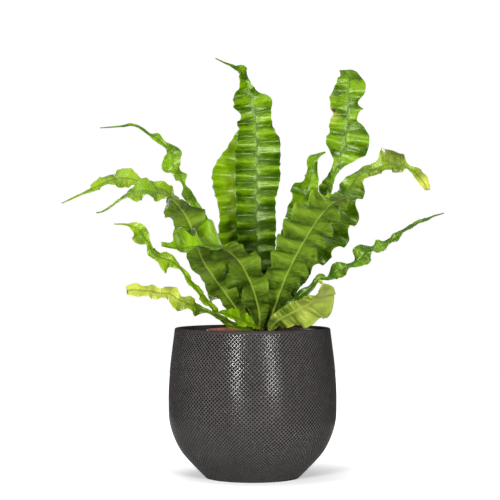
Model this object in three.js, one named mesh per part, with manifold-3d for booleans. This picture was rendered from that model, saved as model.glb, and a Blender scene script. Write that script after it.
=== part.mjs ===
// A crispy wave bird's nest fern in its nursery pot, standing in a black planter.
// Millimetres. X is to the right, Y away from the front and Z up.
// The origin is the centre of the planter's underside, which is flat.
import * as THREE from "three";
import { mergeVertices } from "three/addons/utils/BufferGeometryUtils.js";
import Module from "manifold-3d";

// Planter: a belly that pulls in to a narrower mouth and a small foot
const PLANTER_HEIGHT = 160;
const PLANTER_BELLY_RADIUS = 90;
const PLANTER_BELLY_HEIGHT = 80;
const PLANTER_FOOT_RADIUS = 50;
const PLANTER_MOUTH_RADIUS = 83.3;
const PLANTER_LIP_ROUND = 1.5;
const PLANTER_WALL = 6;
const PLANTER_FLOOR = 9;
const PLANTER_SIDES = 48;
const PLANTER_ROWS = 12;

// Nursery pot: a tapered plastic pot with a folded rim and drain holes
const NURSERY_CENTRE_X = 10;
const NURSERY_RIM_RADIUS = 60;
const NURSERY_RIM_STEP = 2;
const NURSERY_RIM_HEIGHT = 9;
const NURSERY_FOOT_RADIUS = 38.5;
const NURSERY_TOP = 158;
const NURSERY_WALL = 1.6;
const NURSERY_FLOOR = 2.4;
const NURSERY_EDGE = 1.5;
const NURSERY_SIDES = 40;
const DRAIN_HOLES = 6;
const DRAIN_RADIUS = 4;
const DRAIN_CIRCLE = 26;
const DRAIN_SIDES = 12;

// Soil and the crown, the short stem that the fronds grow from
const SOIL_TOP = 146;
const SOIL_EDGE_DROP = 3;
const SOIL_LUMP = 1.3;
const SOIL_RINGS = [53, 47, 40, 33, 26, 14, 0];
const SOIL_SIDES = 32;
const CROWN_X = 11;
const CROWN_RADIUS = 23;
const CROWN_FOOT = 128;
const CROWN_SHOULDER = 146;
const CROWN_TOP = 150.5;
const CROWN_SIDES = 32;
const CLEARANCE = 0.3;

// Stalks and blades
const STALK_FOOT = 141.4;
const STALK_HALF_WIDTH = 1.8;
const STALK_THICKNESS = 3.2;
const HOLE_RADIUS = 2.7;
const HOLE_SIDES = 10;
const BLADE_THICKNESS = 1;
const RIB_THICKNESS = 2.2;
const TIP_RIB_THICKNESS = 1.4;
const NARROWEST_HALF = 0.3;
const STATIONS_PER_WAVE = 4;
const WIDEST_STEP = 6.5;

// The stalk turns into a blade between these shares of the frond's length, and its margins
// ripple from FLAT_SHARE on. The fades are shares of the length too.
const STALK_SHARE = 0.06;
const STALK_FADE = 0.16;
const FLAT_SHARE = 0.12;
const FADE_IN = 0.12;
const FADE_OUT = 0.1;

// The right half's ripples are a little longer. Both halves drift and vary, each over its own
// number of ripples, and a margin also leans along the rib by LEAN of a ripple.
const RIGHT_RIPPLE = 1.06;
const DRIFT = 0.6;
const DRIFT_RIPPLES = 3.7;
const DRIFT_RIGHT = 1.3;
const UNEVEN = 0.25;
const UNEVEN_RIPPLES = 2.3;
const UNEVEN_RIGHT = 2.1;
const RIB_TILT = 0.55;
const LEAN = 0.065;
const LEAN_POWER = 1.3;
const FULL_LEAN_SWING = 0.6;

// Each frond has a foot in the crown and rows along its midrib: x, y, z, the widths of the left
// and the right half, then the way that its upper side looks. wave is the length of a ripple
// near the foot and near the tip, swing the tilt of the left and the right half in a ripple, in
// degrees, and phase where each starts. cup lifts both halves, at the foot and at the tip.
const FRONDS = [
  {
    name: "tall_back",
    foot: [11, 0],
    wave: [17, 17],
    swing: [15, 15],
    phase: [0, 0.8],
    cup: [4, 4],
    rows: [
      [10, 14, 175, 8, 8, 0, -1, 0.2],
      [7, 31, 215, 17, 17, 0, -1, 0.2],
      [5, 37, 260, 22, 21, 0, -1, 0.1],
      [5, 40, 298, 23.5, 21, 0, -1, 0],
      [5, 41, 320, 24, 25.5, 0, -1, 0],
      [5, 42, 336, 24, 26, 0, -1, 0],
      [5, 42, 352, 24, 26, 0, -1, 0],
      [4.5, 42, 364, 22, 25.5, 0, -1, 0],
      [4, 42, 374, 20, 20.5, 0, -1, 0],
      [3, 42, 386, 20, 18, 0.1, -1, 0],
      [1.5, 41, 394, 15, 20, 0.1, -1, 0],
      [0.5, 40, 401, 21, 21.5, 0.2, -1, 0.1],
      [-0.5, 40, 406, 24, 20, 0.2, -1, 0.1],
      [-2, 39, 411.5, 21.5, 12, 0.2, -1, 0.2],
      [-4, 38, 417.5, 17, 7.5, 0.2, -1, 0.2],
      [-6.5, 37, 424, 12, 5, 0.3, -0.9, 0.3],
      [-9, 35, 431, 6.5, 5.5, 0.3, -0.9, 0.4],
      [-13, 31, 438, 5.5, 8, 0.2, -0.8, 0.5],
      [-19.5, 29, 442, 3, 3.5, 0.1, -0.7, 0.7],
      [-28, 28, 445.5, 1.8, 1.8, 0, -0.6, 0.8],
      [-40, 26, 451.5, 0.4, 0.4, 0, -0.5, 0.9],
    ],
  },
  {
    name: "behind_left",
    foot: [7.5, 6],
    wave: [19, 19],
    swing: [18, 18],
    phase: [1, 2],
    cup: [4, 4],
    rows: [
      [2, 24, 180, 8, 8, 0, -1, 0.3],
      [-8, 46, 222, 20, 20, 0, -1, 0.2],
      [-14, 58, 252, 26, 26, 0, -1, 0.1],
      [-18, 64, 285, 19, 19, 0, -1, 0],
      [-20, 66, 325, 25.5, 25.5, 0, -1, 0],
      [-15, 66, 352, 15, 15, 0, -1, 0],
      [-8, 66, 375, 7, 7, 0, -1, 0],
      [0, 64, 390, 0.4, 0.4, 0, -1, 0],
    ],
  },
  {
    name: "slim_top_left",
    foot: [0.5, 6],
    wave: [30, 30],
    swing: [14, 14],
    phase: [2.2, 5.3],
    cup: [3, 3],
    rows: [
      [-18, 26, 195, 5, 5, 0.4, -0.8, 0.4],
      [-40, 42, 245, 7, 7, 0.4, -0.8, 0.4],
      [-55, 57, 278, 6, 6, 0.3, -0.9, 0.4],
      [-64, 66, 293, 5, 5, 0.3, -0.9, 0.4],
      [-71.5, 72, 307, 8, 5, 0.3, -0.9, 0.4],
      [-76.5, 75, 316, 2, 2, 0.3, -0.9, 0.4],
      [-80, 77, 324.5, 7, 8, 0.2, -0.9, 0.3],
      [-84.5, 79, 330.5, 6, 5, 0.2, -0.9, 0.3],
      [-88, 80, 337, 14, 8, 0.1, -1, 0.2],
      [-89, 81, 344.5, 11, 9, 0.1, -1, 0.2],
      [-90, 82, 351, 7, 11, 0.1, -1, 0.2],
      [-94, 83, 357.5, 3.5, 5.5, 0.1, -1, 0.2],
      [-100.5, 84, 363, 3.5, 3, 0.1, -0.9, 0.3],
      [-107.5, 85, 368.5, 5, 6, 0.1, -0.9, 0.4],
      [-115, 86, 372.5, 2, 2, 0, -0.8, 0.5],
      [-123, 87, 378.5, 2.5, 2.5, 0, -0.6, 0.8],
      [-135, 88, 383, 2.5, 2.5, 0, -0.6, 0.8],
      [-151, 90, 381.5, 1.8, 1.8, -0.1, -0.6, 0.8],
      [-171, 92, 380.5, 0.4, 0.4, -0.1, -0.6, 0.8],
    ],
  },
  {
    name: "arch_left_back",
    foot: [4, 0],
    wave: [24, 36],
    swing: [20, 16],
    phase: [0.5, 2.2],
    cup: [4, 4],
    rows: [
      [-16, 8, 188, 8, 8, 0.6, 0.2, 0.6],
      [-40, 14, 236, 16, 16, 0.6, 0.2, 0.6],
      [-62, 16, 272, 17, 17, 0.5, 0.1, 0.8],
      [-80, 16, 295, 17, 16, 0.2, -0.3, 0.8],
      [-97, 14, 308, 13, 10, 0, -0.6, 0.8],
      [-109.5, 13, 313, 12, 7, -0.1, -0.7, 0.7],
      [-121, 13, 316.5, 11, 6, -0.1, -0.7, 0.7],
      [-131, 12, 319.5, 12, 12, -0.1, -0.7, 0.7],
      [-142, 11, 320.5, 13, 13, -0.2, -0.7, 0.7],
      [-153.5, 10, 318, 11.5, 11.5, -0.2, -0.7, 0.7],
      [-165, 9, 312.5, 8, 8, -0.3, -0.7, 0.7],
      [-177, 8, 306.5, 2.5, 3.5, -0.3, -0.7, 0.7],
      [-190, 6, 300, 2, 2, -0.3, -0.7, 0.7],
      [-205, 4, 293.5, 0.4, 0.4, -0.3, -0.7, 0.7],
    ],
  },
  {
    name: "arch_left_front",
    foot: [-3, 0],
    wave: [30, 30],
    swing: [16, 10],
    phase: [0.5, 2.2],
    cup: [6, 4],
    rows: [
      [-14, -5, 176, 8, 10, 0.4, 0.8, 0.4],
      [-35, -14, 206, 17, 17, 0.4, 0.8, 0.4],
      [-51, -22, 230, 18, 18, 0.4, 0.8, 0.4],
      [-59, -30, 250, 16, 17, 0.4, 0.8, 0.4],
      [-65, -37, 269, 17, 21, 0.4, 0.8, 0.4],
      [-74, -44, 286, 25, 27, 0.4, 0.6, 0.7],
      [-86, -50, 297.5, 9, 20, 0.2, -0.1, 0.9],
      [-98.5, -54, 302.5, 13, 15, 0.1, -0.5, 0.8],
      [-109, -57, 304.5, 18, 19, 0, -0.6, 0.8],
      [-120, -59, 304, 15, 11, 0, -0.6, 0.8],
      [-130.5, -60, 299.5, 8, 6, -0.1, -0.5, 0.8],
      [-139.5, -61, 293.5, 2.5, 3, -0.3, -0.5, 0.8],
      [-150, -62, 286, 2.2, 2.2, -0.4, -0.5, 0.8],
      [-157, -63, 282.5, 2.2, 1.6, -0.4, -0.4, 0.8],
      [-162, -64, 282, 0.5, 0.5, -0.4, -0.4, 0.8],
    ],
  },
  {
    name: "twisted_left",
    foot: [0.5, -6],
    wave: [24, 24],
    swing: [18, 18],
    phase: [2, 4.6],
    cup: [5, 5],
    rows: [
      [-28, -13, 164, 3, 3, 0.5, -0.5, 0.6],
      [-42, -18, 180.5, 5, 5, 0.5, -0.6, 0.6],
      [-53.5, -22, 194.5, 6, 5, 0.5, -0.6, 0.6],
      [-64, -27, 208, 5, 4.5, 0.5, -0.6, 0.6],
      [-75.5, -32, 223, 3.5, 3.5, 0.4, -0.7, 0.5],
      [-84, -35, 231, 8, 5, 0.2, -0.8, 0.5],
      [-91, -37, 234, 20, 7, 0, -0.9, 0.4],
      [-98.5, -39, 236, 6, 5, 0, -0.9, 0.4],
      [-105.5, -41, 242, 6, 4, -0.2, -0.9, 0.3],
      [-108.5, -43, 249.5, 3, 3, -0.3, -0.9, 0.3],
      [-114.5, -45, 257.5, 12, 7, -0.3, -0.9, 0.3],
      [-120, -47, 265, 8.5, 7, -0.3, -0.9, 0.3],
      [-129, -48, 269, 3, 3, -0.2, -0.6, 0.7],
      [-144.5, -50, 270.5, 0.4, 0.4, 0, -0.5, 0.9],
    ],
  },
  {
    name: "low_wavy_left",
    foot: [4, -12],
    wave: [18, 18],
    swing: [16, 16],
    phase: [1, 2.2],
    cup: [0, 0],
    rows: [
      [-18, -20, 163.5, 3, 3, 0.2, -0.8, 0.6],
      [-32, -26, 171, 3, 3, 0.1, -0.85, 0.5],
      [-45, -31, 177.5, 2.5, 2.5, 0, -0.85, 0.5],
      [-52.5, -34, 180.5, 4.5, 3, 0, -0.85, 0.5],
      [-59.5, -37, 183.5, 12, 6, 0, -0.85, 0.5],
      [-67.5, -41, 187.5, 7, 8, 0, -0.85, 0.5],
      [-77, -44, 191, 13, 5, 0, -0.85, 0.5],
      [-86, -47, 197, 7, 11, 0, -0.85, 0.5],
      [-96.5, -50, 198, 7, 5, 0, -0.85, 0.5],
      [-106, -52, 200, 8, 9, 0, -0.85, 0.5],
      [-114, -53, 200.5, 7, 5.5, 0, -0.85, 0.5],
      [-122.5, -54, 201.5, 7.5, 8, 0, -0.85, 0.5],
      [-131, -55, 200.5, 5, 6, 0, -0.85, 0.5],
    ],
  },
  {
    name: "short_front_left",
    foot: [11, -12],
    wave: [26, 26],
    swing: [12, 12],
    phase: [0, 2.6],
    cup: [8, 8],
    rows: [
      [4, -36, 163.5, 5, 6, -0.1, -0.85, 0.5],
      [-7, -52, 168, 8, 13, -0.1, -0.85, 0.5],
      [-17, -66, 173, 9, 10, -0.1, -0.85, 0.5],
      [-27.5, -78, 177.5, 7, 6, -0.2, -0.8, 0.6],
      [-36.5, -88, 179, 0.5, 0.5, -0.2, -0.8, 0.7],
    ],
  },
  {
    name: "arch_front_left",
    foot: [7.5, -6],
    wave: [36, 29],
    swing: [18, 22],
    phase: [0.5, 2.4],
    cup: [8, 30],
    rows: [
      [7, -24, 178, 10, 12, 0.3, 0.85, 0.4],
      [0, -42, 204, 17, 24, 0.3, 0.85, 0.4],
      [-10, -58, 226, 20, 28, 0.35, 0.7, 0.6],
      [-23, -72, 241, 20, 34, 0.3, 0.3, 0.9],
      [-36, -82, 246.5, 14, 40, 0.1, -0.2, 1],
      [-46, -88, 247.5, 9, 42, 0, -0.5, 0.85],
      [-58, -93, 246.5, 8, 12, 0, -0.6, 0.8],
      [-70, -98, 245, 8, 31, 0, -0.65, 0.75],
      [-80, -102, 245, 6, 9, 0, -0.5, 0.85],
      [-92, -107, 247.5, 4, 5, -0.1, -0.5, 0.85],
    ],
  },
  {
    name: "broad_front_right",
    foot: [14.5, -6],
    wave: [19, 19],
    swing: [16, 16],
    phase: [0, 1.2],
    cup: [6, 10],
    rows: [
      [22, -15, 178, 11, 11, -0.3, 0.85, 0.4],
      [36, -33, 218, 22, 22, -0.3, 0.85, 0.4],
      [54, -53, 254, 25, 28, -0.3, 0.85, 0.4],
      [70, -69, 279, 24, 30, -0.3, 0.7, 0.6],
      [84, -82, 293, 20, 24, -0.1, 0.3, 0.9],
      [98, -92, 297, 12, 12, 0.1, -0.1, 1],
      [110, -99, 297, 1, 1, 0.2, -0.2, 1],
    ],
  },
  {
    name: "long_right",
    foot: [25, 0],
    wave: [20, 34],
    swing: [22, 22],
    phase: [0, 1.8],
    cup: [6, 6],
    rows: [
      [38, -3, 190, 9, 6, -0.3, -0.9, 0.4],
      [57, -1, 226, 20, 11, -0.3, -0.9, 0.4],
      [68, 2, 241, 23, 17, -0.3, -0.9, 0.4],
      [78, 5, 256, 25, 24, -0.3, -0.9, 0.4],
      [93, 13, 284, 23, 23, -0.3, -0.9, 0.4],
      [103, 20, 306, 15, 19, -0.3, -0.8, 0.5],
      [112, 23, 320, 8, 14, -0.3, -0.8, 0.6],
      [123, 24, 328.5, 7, 8, -0.1, -0.9, 0.4],
      [132, 24, 331, 6, 7, 0, -0.9, 0.4],
      [138.5, 24, 333, 10, 8, 0, -0.9, 0.4],
      [143.5, 23, 334.5, 20, 9, 0, -0.9, 0.4],
      [150, 23, 335.5, 23, 8.5, 0, -0.9, 0.4],
      [156.5, 22, 335, 19.5, 8.5, 0.1, -0.9, 0.4],
      [163, 20, 334, 10, 7, 0.2, -0.9, 0.4],
      [168.5, 18, 332, 3, 3, 0.2, -0.9, 0.4],
      [174.5, 16, 328, 7, 5.5, 0.3, -0.9, 0.4],
      [180, 13, 321.5, 10, 5.5, 0.4, -0.8, 0.4],
      [185.5, 11, 314, 6.5, 6.5, 0.5, -0.8, 0.3],
      [188, 9, 307.5, 4.5, 4.5, 0.6, -0.7, 0.3],
    ],
  },
  {
    name: "upright_right",
    foot: [21.5, 6],
    wave: [24, 24],
    swing: [14, 14],
    phase: [0, 1],
    cup: [2, 2],
    rows: [
      [34, 28, 190, 6, 6, -0.8, -0.4, 0.3],
      [53, 51, 240, 12, 12, -0.8, -0.4, 0.3],
      [70, 64, 286, 11, 11, -0.7, -0.5, 0.3],
      [84, 68, 316, 8, 7, -0.5, -0.8, 0.3],
      [91.5, 68, 332, 4.5, 5, -0.3, -0.9, 0.2],
      [96, 68, 340.5, 7, 9, -0.2, -1, 0],
      [98.5, 68, 347.5, 12, 18, 0, -1, 0],
      [100.5, 68, 355, 19, 26.5, 0, -1, 0],
      [102.5, 68, 363, 22, 27, 0, -1, 0],
      [104, 68, 371.5, 18.5, 26, 0, -1, 0],
      [105, 68, 379.5, 20.5, 21, 0, -1, 0],
      [105.5, 68, 387, 19, 11, 0, -1, 0.1],
      [106, 68, 394, 16.5, 12, 0, -1, 0.1],
      [106, 68, 400.5, 20, 17.5, 0, -1, 0.1],
      [106.5, 68, 407, 22, 11, 0, -1, 0.1],
      [107, 68, 413, 21, 14, 0, -1, 0.1],
      [107.5, 68, 419.5, 18, 17.5, 0, -1, 0.2],
      [108, 68.5, 427, 15.5, 17.5, 0, -1, 0.2],
      [107.5, 70, 434, 13.5, 13.5, 0, -0.9, 0.4],
      [105.5, 75, 439.5, 9, 9.5, 0, -0.8, 0.6],
      [101.5, 80, 442.5, 5, 4, 0, -0.6, 0.8],
      [97.5, 84, 444, 0.5, 0.5, 0, -0.5, 0.9],
    ],
  },
  {
    name: "twisted_right",
    foot: [18, 0],
    wave: [26, 26],
    swing: [26, 26],
    phase: [0, 2],
    cup: [6, 6],
    rows: [
      [24, 7, 190, 6, 6, 0, -1, 0.2],
      [38, 25, 238, 13, 13, 0.1, -1, 0.2],
      [52, 41, 282, 15, 14, 0.2, -1, 0.1],
      [60, 46, 308, 17, 13, 0.3, -0.9, 0],
      [64, 47, 320, 10, 9, 0.3, -0.9, 0.1],
      [66.5, 48, 331, 6, 6, 0.2, -1, 0.1],
      [66.5, 48, 340, 8, 5.5, 0.1, -1, 0.1],
      [71, 48, 346, 3.5, 3.5, 0, -0.9, 0.4],
      [80, 47, 350.5, 1, 1, 0, -0.8, 0.6],
    ],
  },
  {
    name: "low_wavy_right",
    foot: [21.5, -6],
    wave: [24, 24],
    swing: [14, 14],
    phase: [0.6, 3.7],
    cup: [0, 0],
    rows: [
      [32, -22, 180.5, 2.5, 2.5, -0.3, -0.9, 0.4],
      [41.5, -26, 188, 4, 4.5, -0.3, -0.9, 0.4],
      [52, -28, 196, 6, 5.5, -0.3, -0.9, 0.4],
      [60.5, -29.5, 203, 3, 4, -0.3, -0.9, 0.4],
      [67, -30.5, 210.5, 3.5, 3.5, -0.3, -0.9, 0.4],
      [72, -31, 213.5, 5, 3, -0.3, -0.9, 0.4],
      [79, -31.5, 213, 2, 2, -0.3, -0.9, 0.4],
      [87, -32, 219, 9, 9, -0.3, -0.9, 0.4],
      [93, -32.5, 222, 10, 9, -0.3, -0.9, 0.4],
      [100.5, -33, 226.5, 3, 3, -0.3, -0.9, 0.4],
      [108, -33.5, 229.5, 3.5, 6, -0.3, -0.9, 0.4],
      [114, -34, 234.5, 12, 11, -0.3, -0.9, 0.4],
      [118.5, -34.5, 241, 11, 9, -0.3, -0.9, 0.4],
      [125.5, -35.5, 244.5, 3, 3, -0.3, -0.9, 0.4],
      [133, -36.5, 246, 9, 8, -0.3, -0.9, 0.4],
      [139, -37, 250, 4, 5, -0.3, -0.9, 0.4],
      [144, -37.5, 253, 3, 3, -0.3, -0.9, 0.4],
      [150.5, -38.5, 256.5, 5, 5, -0.3, -0.9, 0.4],
      [157, -39, 262.5, 2.2, 2.2, -0.3, -0.8, 0.6],
      [165, -40, 267.5, 3, 3, -0.3, -0.7, 0.7],
      [175.5, -40.5, 272.5, 3.5, 3.5, -0.3, -0.5, 0.8],
      [188, -41, 278, 2.5, 2.5, -0.3, -0.4, 0.9],
      [200.5, -42, 282, 0.4, 0.4, -0.3, -0.3, 0.9],
    ],
  },
  {
    name: "short_front_right",
    foot: [18, -12],
    wave: [26, 26],
    swing: [10, 10],
    phase: [0, 2],
    cup: [8, 8],
    rows: [
      [22, -28, 164, 6, 6, 0.2, 0.85, 0.4],
      [31, -46, 172, 14, 9, 0.3, 0.85, 0.4],
      [43, -60, 179, 21, 10, 0.25, 0.85, 0.4],
      [55, -74, 186, 26, 10, 0, 0.85, 0.5],
      [64, -86, 192, 26, 12, -0.3, 0.6, 0.7],
      [70, -95, 199, 18, 13, -0.5, 0.2, 0.8],
      [70.5, -100, 207, 6, 9, -0.6, -0.2, 0.7],
      [67, -102, 213, 0.5, 0.5, -0.6, -0.4, 0.6],
    ],
  },
  {
    name: "rear_left",
    foot: [4, 12],
    wave: [26, 26],
    swing: [26, 26],
    phase: [0, 2],
    cup: [6, 6],
    rows: [
      [-8, 44, 184, 9, 9, 0.2, -0.8, 0.6],
      [-24, 82, 224, 20, 20, 0.2, -0.7, 0.7],
      [-36, 116, 250, 21, 21, 0.1, -0.4, 0.9],
      [-46, 148, 258, 16, 16, 0, 0, 1],
      [-54, 174, 252, 8, 8, -0.1, 0.3, 0.9],
      [-58, 192, 240, 0.5, 0.5, -0.1, 0.4, 0.9],
    ],
  },
  {
    name: "rear_middle",
    foot: [11, 12],
    wave: [22, 22],
    swing: [20, 20],
    phase: [0, 2],
    cup: [6, 6],
    rows: [
      [11, 44, 196, 8, 8, 0, -0.8, 0.5],
      [9, 80, 256, 14, 14, 0, -0.8, 0.6],
      [7, 108, 306, 16, 16, 0, -0.7, 0.7],
      [6, 134, 340, 15, 15, 0, -0.4, 0.9],
      [6, 160, 352, 10, 10, 0, 0.1, 1],
      [8, 184, 344, 0.5, 0.5, 0, 0.4, 0.9],
    ],
  },
  {
    name: "rear_right",
    foot: [18, 12],
    wave: [26, 26],
    swing: [26, 26],
    phase: [0, 2],
    cup: [6, 6],
    rows: [
      [30, 46, 184, 9, 9, -0.2, -0.8, 0.6],
      [46, 86, 224, 19, 19, -0.2, -0.7, 0.7],
      [60, 120, 246, 21, 21, -0.1, -0.4, 0.9],
      [72, 150, 252, 16, 16, 0, 0, 1],
      [81, 174, 247, 8, 8, 0.1, 0.3, 0.9],
      [86, 192, 237, 0.5, 0.5, 0.1, 0.4, 0.9],
    ],
  },
  {
    name: "rear_low_left",
    foot: [-3, 12],
    wave: [24, 24],
    swing: [30, 30],
    phase: [1, 3],
    cup: [6, 6],
    rows: [
      [-9, 38, 166, 6, 6, 0.3, -0.6, 0.8],
      [-20, 70, 184, 12, 12, 0.3, -0.5, 0.9],
      [-32, 102, 194, 13, 13, 0.2, -0.3, 1],
      [-42, 130, 193, 10, 10, 0.1, 0.1, 1],
      [-48, 150, 184, 1, 1, 0, 0.3, 1],
    ],
  },
  {
    name: "rear_low_right",
    foot: [25, 12],
    wave: [24, 24],
    swing: [30, 30],
    phase: [1, 3],
    cup: [6, 6],
    rows: [
      [26, 40, 166, 6, 6, -0.2, -0.6, 0.8],
      [29, 76, 184, 12, 12, -0.2, -0.5, 0.9],
      [31, 108, 194, 13, 13, -0.1, -0.3, 1],
      [32, 136, 193, 10, 10, 0, 0.1, 1],
      [32, 156, 184, 1, 1, 0, 0.3, 1],
    ],
  },
];

const TURN = 2 * Math.PI;
const { degToRad, lerp } = THREE.MathUtils;

const wasm = await Module();
wasm.setup();

function finish(colour, roughness) {
  return new THREE.MeshStandardMaterial({ color: colour, roughness, metalness: 0 });
}

const MATERIALS = {
  planter: finish(0x1a1a1b, 0.42),
  nurseryPot: finish(0x9a4a38, 0.55),
  soil: finish(0x33261c, 0.95),
  crown: finish(0x2b1b12, 0.9),
  frond: finish(0x5b9316, 0.45),
};

// The solid that a closed geometry bounds, with the shared vertices merged
function toSolid(geometry) {
  const bare = geometry.clone();
  bare.deleteAttribute("normal");
  bare.deleteAttribute("uv");
  const merged = mergeVertices(bare, 1e-4);
  return new wasm.Manifold(
    new wasm.Mesh({
      numProp: 3,
      vertProperties: merged.attributes.position.array,
      triVerts: new Uint32Array(merged.index.array),
    }),
  );
}

function toGeometry(solid) {
  const mesh = solid.getMesh();
  return new THREE.BufferGeometry()
    .setAttribute("position", new THREE.BufferAttribute(mesh.vertProperties, 3))
    .setIndex(new THREE.BufferAttribute(mesh.triVerts, 1));
}

// A profile of radius and height, turned about the Z axis
function lathe(profile, sides) {
  const points = profile.map(([radius, z]) => new THREE.Vector2(radius, z));
  return new THREE.LatheGeometry(points, sides).rotateX(Math.PI / 2);
}

function cylinder(radius, low, high, x, y, sides) {
  return new THREE.CylinderGeometry(radius, radius, high - low, sides)
    .rotateX(Math.PI / 2)
    .translate(x, y, (low + high) / 2);
}

function cutAll(solid, cutters) {
  return cutters.reduce((left, cutter) => left.subtract(toSolid(cutter)), solid);
}

function named(name, geometry, material) {
  geometry.computeVertexNormals();
  const mesh = new THREE.Mesh(geometry, material);
  mesh.name = name;
  return mesh;
}

// The outer wall from the foot to the mouth, as radius and height, on one smooth curve
function planterOutline() {
  const control = [
    [PLANTER_FOOT_RADIUS, 0],
    [60, 10],
    [77.5, 30],
    [88.2, 56],
    [PLANTER_BELLY_RADIUS, PLANTER_BELLY_HEIGHT],
    [88.4, 115],
    [PLANTER_MOUTH_RADIUS, PLANTER_HEIGHT - PLANTER_LIP_ROUND],
  ];
  const curve = new THREE.SplineCurve(control.map(([radius, z]) => new THREE.Vector2(radius, z)));
  return curve.getPoints(PLANTER_ROWS).map((point) => [point.x, point.y]);
}

function makePlanter() {
  const outline = planterOutline();
  const lowestInside = PLANTER_FLOOR + PLANTER_WALL;
  const inner = outline
    .filter(([, z]) => z > lowestInside)
    .reverse()
    .map(([radius, z]) => [radius - PLANTER_WALL, z]);
  const lip = [
    [PLANTER_MOUTH_RADIUS - PLANTER_LIP_ROUND, PLANTER_HEIGHT],
    [PLANTER_MOUTH_RADIUS - PLANTER_WALL + PLANTER_LIP_ROUND, PLANTER_HEIGHT],
  ];
  const floor = [
    [PLANTER_FOOT_RADIUS, PLANTER_FLOOR],
    [0, PLANTER_FLOOR],
  ];
  const profile = [[0, 0], ...outline, ...lip, ...inner, ...floor];
  return named("planter", lathe(profile, PLANTER_SIDES), MATERIALS.planter);
}

const NURSERY_BASE = PLANTER_FLOOR + CLEARANCE;

// The nursery pot's outer radius at a height, below its rim
function nurseryRadius(z) {
  const share = (z - NURSERY_BASE) / (NURSERY_TOP - NURSERY_BASE);
  return lerp(NURSERY_FOOT_RADIUS, NURSERY_RIM_RADIUS - NURSERY_RIM_STEP, share);
}

function makeNurseryPot() {
  const rimFoot = NURSERY_TOP - NURSERY_RIM_HEIGHT;
  const inside = (z) => nurseryRadius(z) - NURSERY_WALL;
  const floor = NURSERY_BASE + NURSERY_FLOOR;
  const profile = [
    [0, NURSERY_BASE],
    [NURSERY_FOOT_RADIUS - NURSERY_EDGE, NURSERY_BASE],
    [NURSERY_FOOT_RADIUS, NURSERY_BASE + NURSERY_EDGE],
    [nurseryRadius(rimFoot), rimFoot],
    [NURSERY_RIM_RADIUS, rimFoot + NURSERY_EDGE],
    [NURSERY_RIM_RADIUS, NURSERY_TOP - 1],
    [NURSERY_RIM_RADIUS - 1, NURSERY_TOP],
    [inside(NURSERY_TOP), NURSERY_TOP],
    [inside(floor), floor],
    [0, floor],
  ];
  const drains = [];
  for (let i = 0; i < DRAIN_HOLES; i++) {
    const turn = (TURN * i) / DRAIN_HOLES;
    const x = DRAIN_CIRCLE * Math.cos(turn);
    const y = DRAIN_CIRCLE * Math.sin(turn);
    drains.push(cylinder(DRAIN_RADIUS, NURSERY_BASE - 2, floor + 2, x, y, DRAIN_SIDES));
  }
  const solid = cutAll(toSolid(lathe(profile, NURSERY_SIDES)), drains);
  const mesh = named("nursery_pot", toGeometry(solid), MATERIALS.nurseryPot);
  mesh.position.x = NURSERY_CENTRE_X;
  return mesh;
}

// How far the soil stands above its mean level
function soilLump(x, y) {
  const broad = Math.sin(0.31 * x + 1.3) * Math.cos(0.27 * y);
  const narrow = 0.6 * Math.sin(0.53 * (x + y));
  return SOIL_LUMP * (broad + narrow) * Math.min(1, Math.hypot(x, y) / 30);
}

// Soil fills the nursery pot. Its top is lumpy, and a well in it takes the crown.
function makeSoil() {
  const low = NURSERY_BASE + NURSERY_FLOOR + CLEARANCE;
  const shoulder = SOIL_TOP - SOIL_EDGE_DROP;
  const inside = (z) => nurseryRadius(z) - NURSERY_WALL - 0.5;
  const profile = [
    [0, low],
    [inside(low), low],
    [inside(shoulder), shoulder],
    ...SOIL_RINGS.map((radius) => [radius, SOIL_TOP]),
  ];
  const geometry = lathe(profile, SOIL_SIDES);
  const place = geometry.attributes.position;
  for (let i = 0; i < place.count; i++) {
    if (place.getZ(i) > shoulder + 1) {
      place.setZ(i, SOIL_TOP + soilLump(place.getX(i), place.getY(i)));
    }
  }
  const well = cylinder(
    CROWN_RADIUS + CLEARANCE,
    CROWN_FOOT - CLEARANCE,
    SOIL_TOP + 10,
    CROWN_X - NURSERY_CENTRE_X,
    0,
    CROWN_SIDES,
  );
  const mesh = named("soil", toGeometry(cutAll(toSolid(geometry), [well])), MATERIALS.soil);
  mesh.position.x = NURSERY_CENTRE_X;
  return mesh;
}

// The crown has one plain hole for each stalk
function makeCrown() {
  const profile = [
    [0, CROWN_FOOT],
    [CROWN_RADIUS - 3, CROWN_FOOT],
    [CROWN_RADIUS, CROWN_FOOT + 3],
    [CROWN_RADIUS, CROWN_SHOULDER],
    [CROWN_RADIUS - 2, CROWN_SHOULDER + 2.4],
    [CROWN_RADIUS - 7, CROWN_TOP - 0.8],
    [8, CROWN_TOP],
    [0, CROWN_TOP],
  ];
  const body = toSolid(lathe(profile, CROWN_SIDES).translate(CROWN_X, 0, 0));
  const holes = FRONDS.map(({ foot: [x, y] }) =>
    cylinder(HOLE_RADIUS, STALK_FOOT - CLEARANCE, CROWN_TOP + 5, x, y, HOLE_SIDES),
  );
  return named("crown", toGeometry(cutAll(body, holes)), MATERIALS.crown);
}

// Rises from 0 to 1 with flat ends
function ease(x) {
  const t = Math.min(1, Math.max(0, x));
  return t * t * (3 - 2 * t);
}

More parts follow.
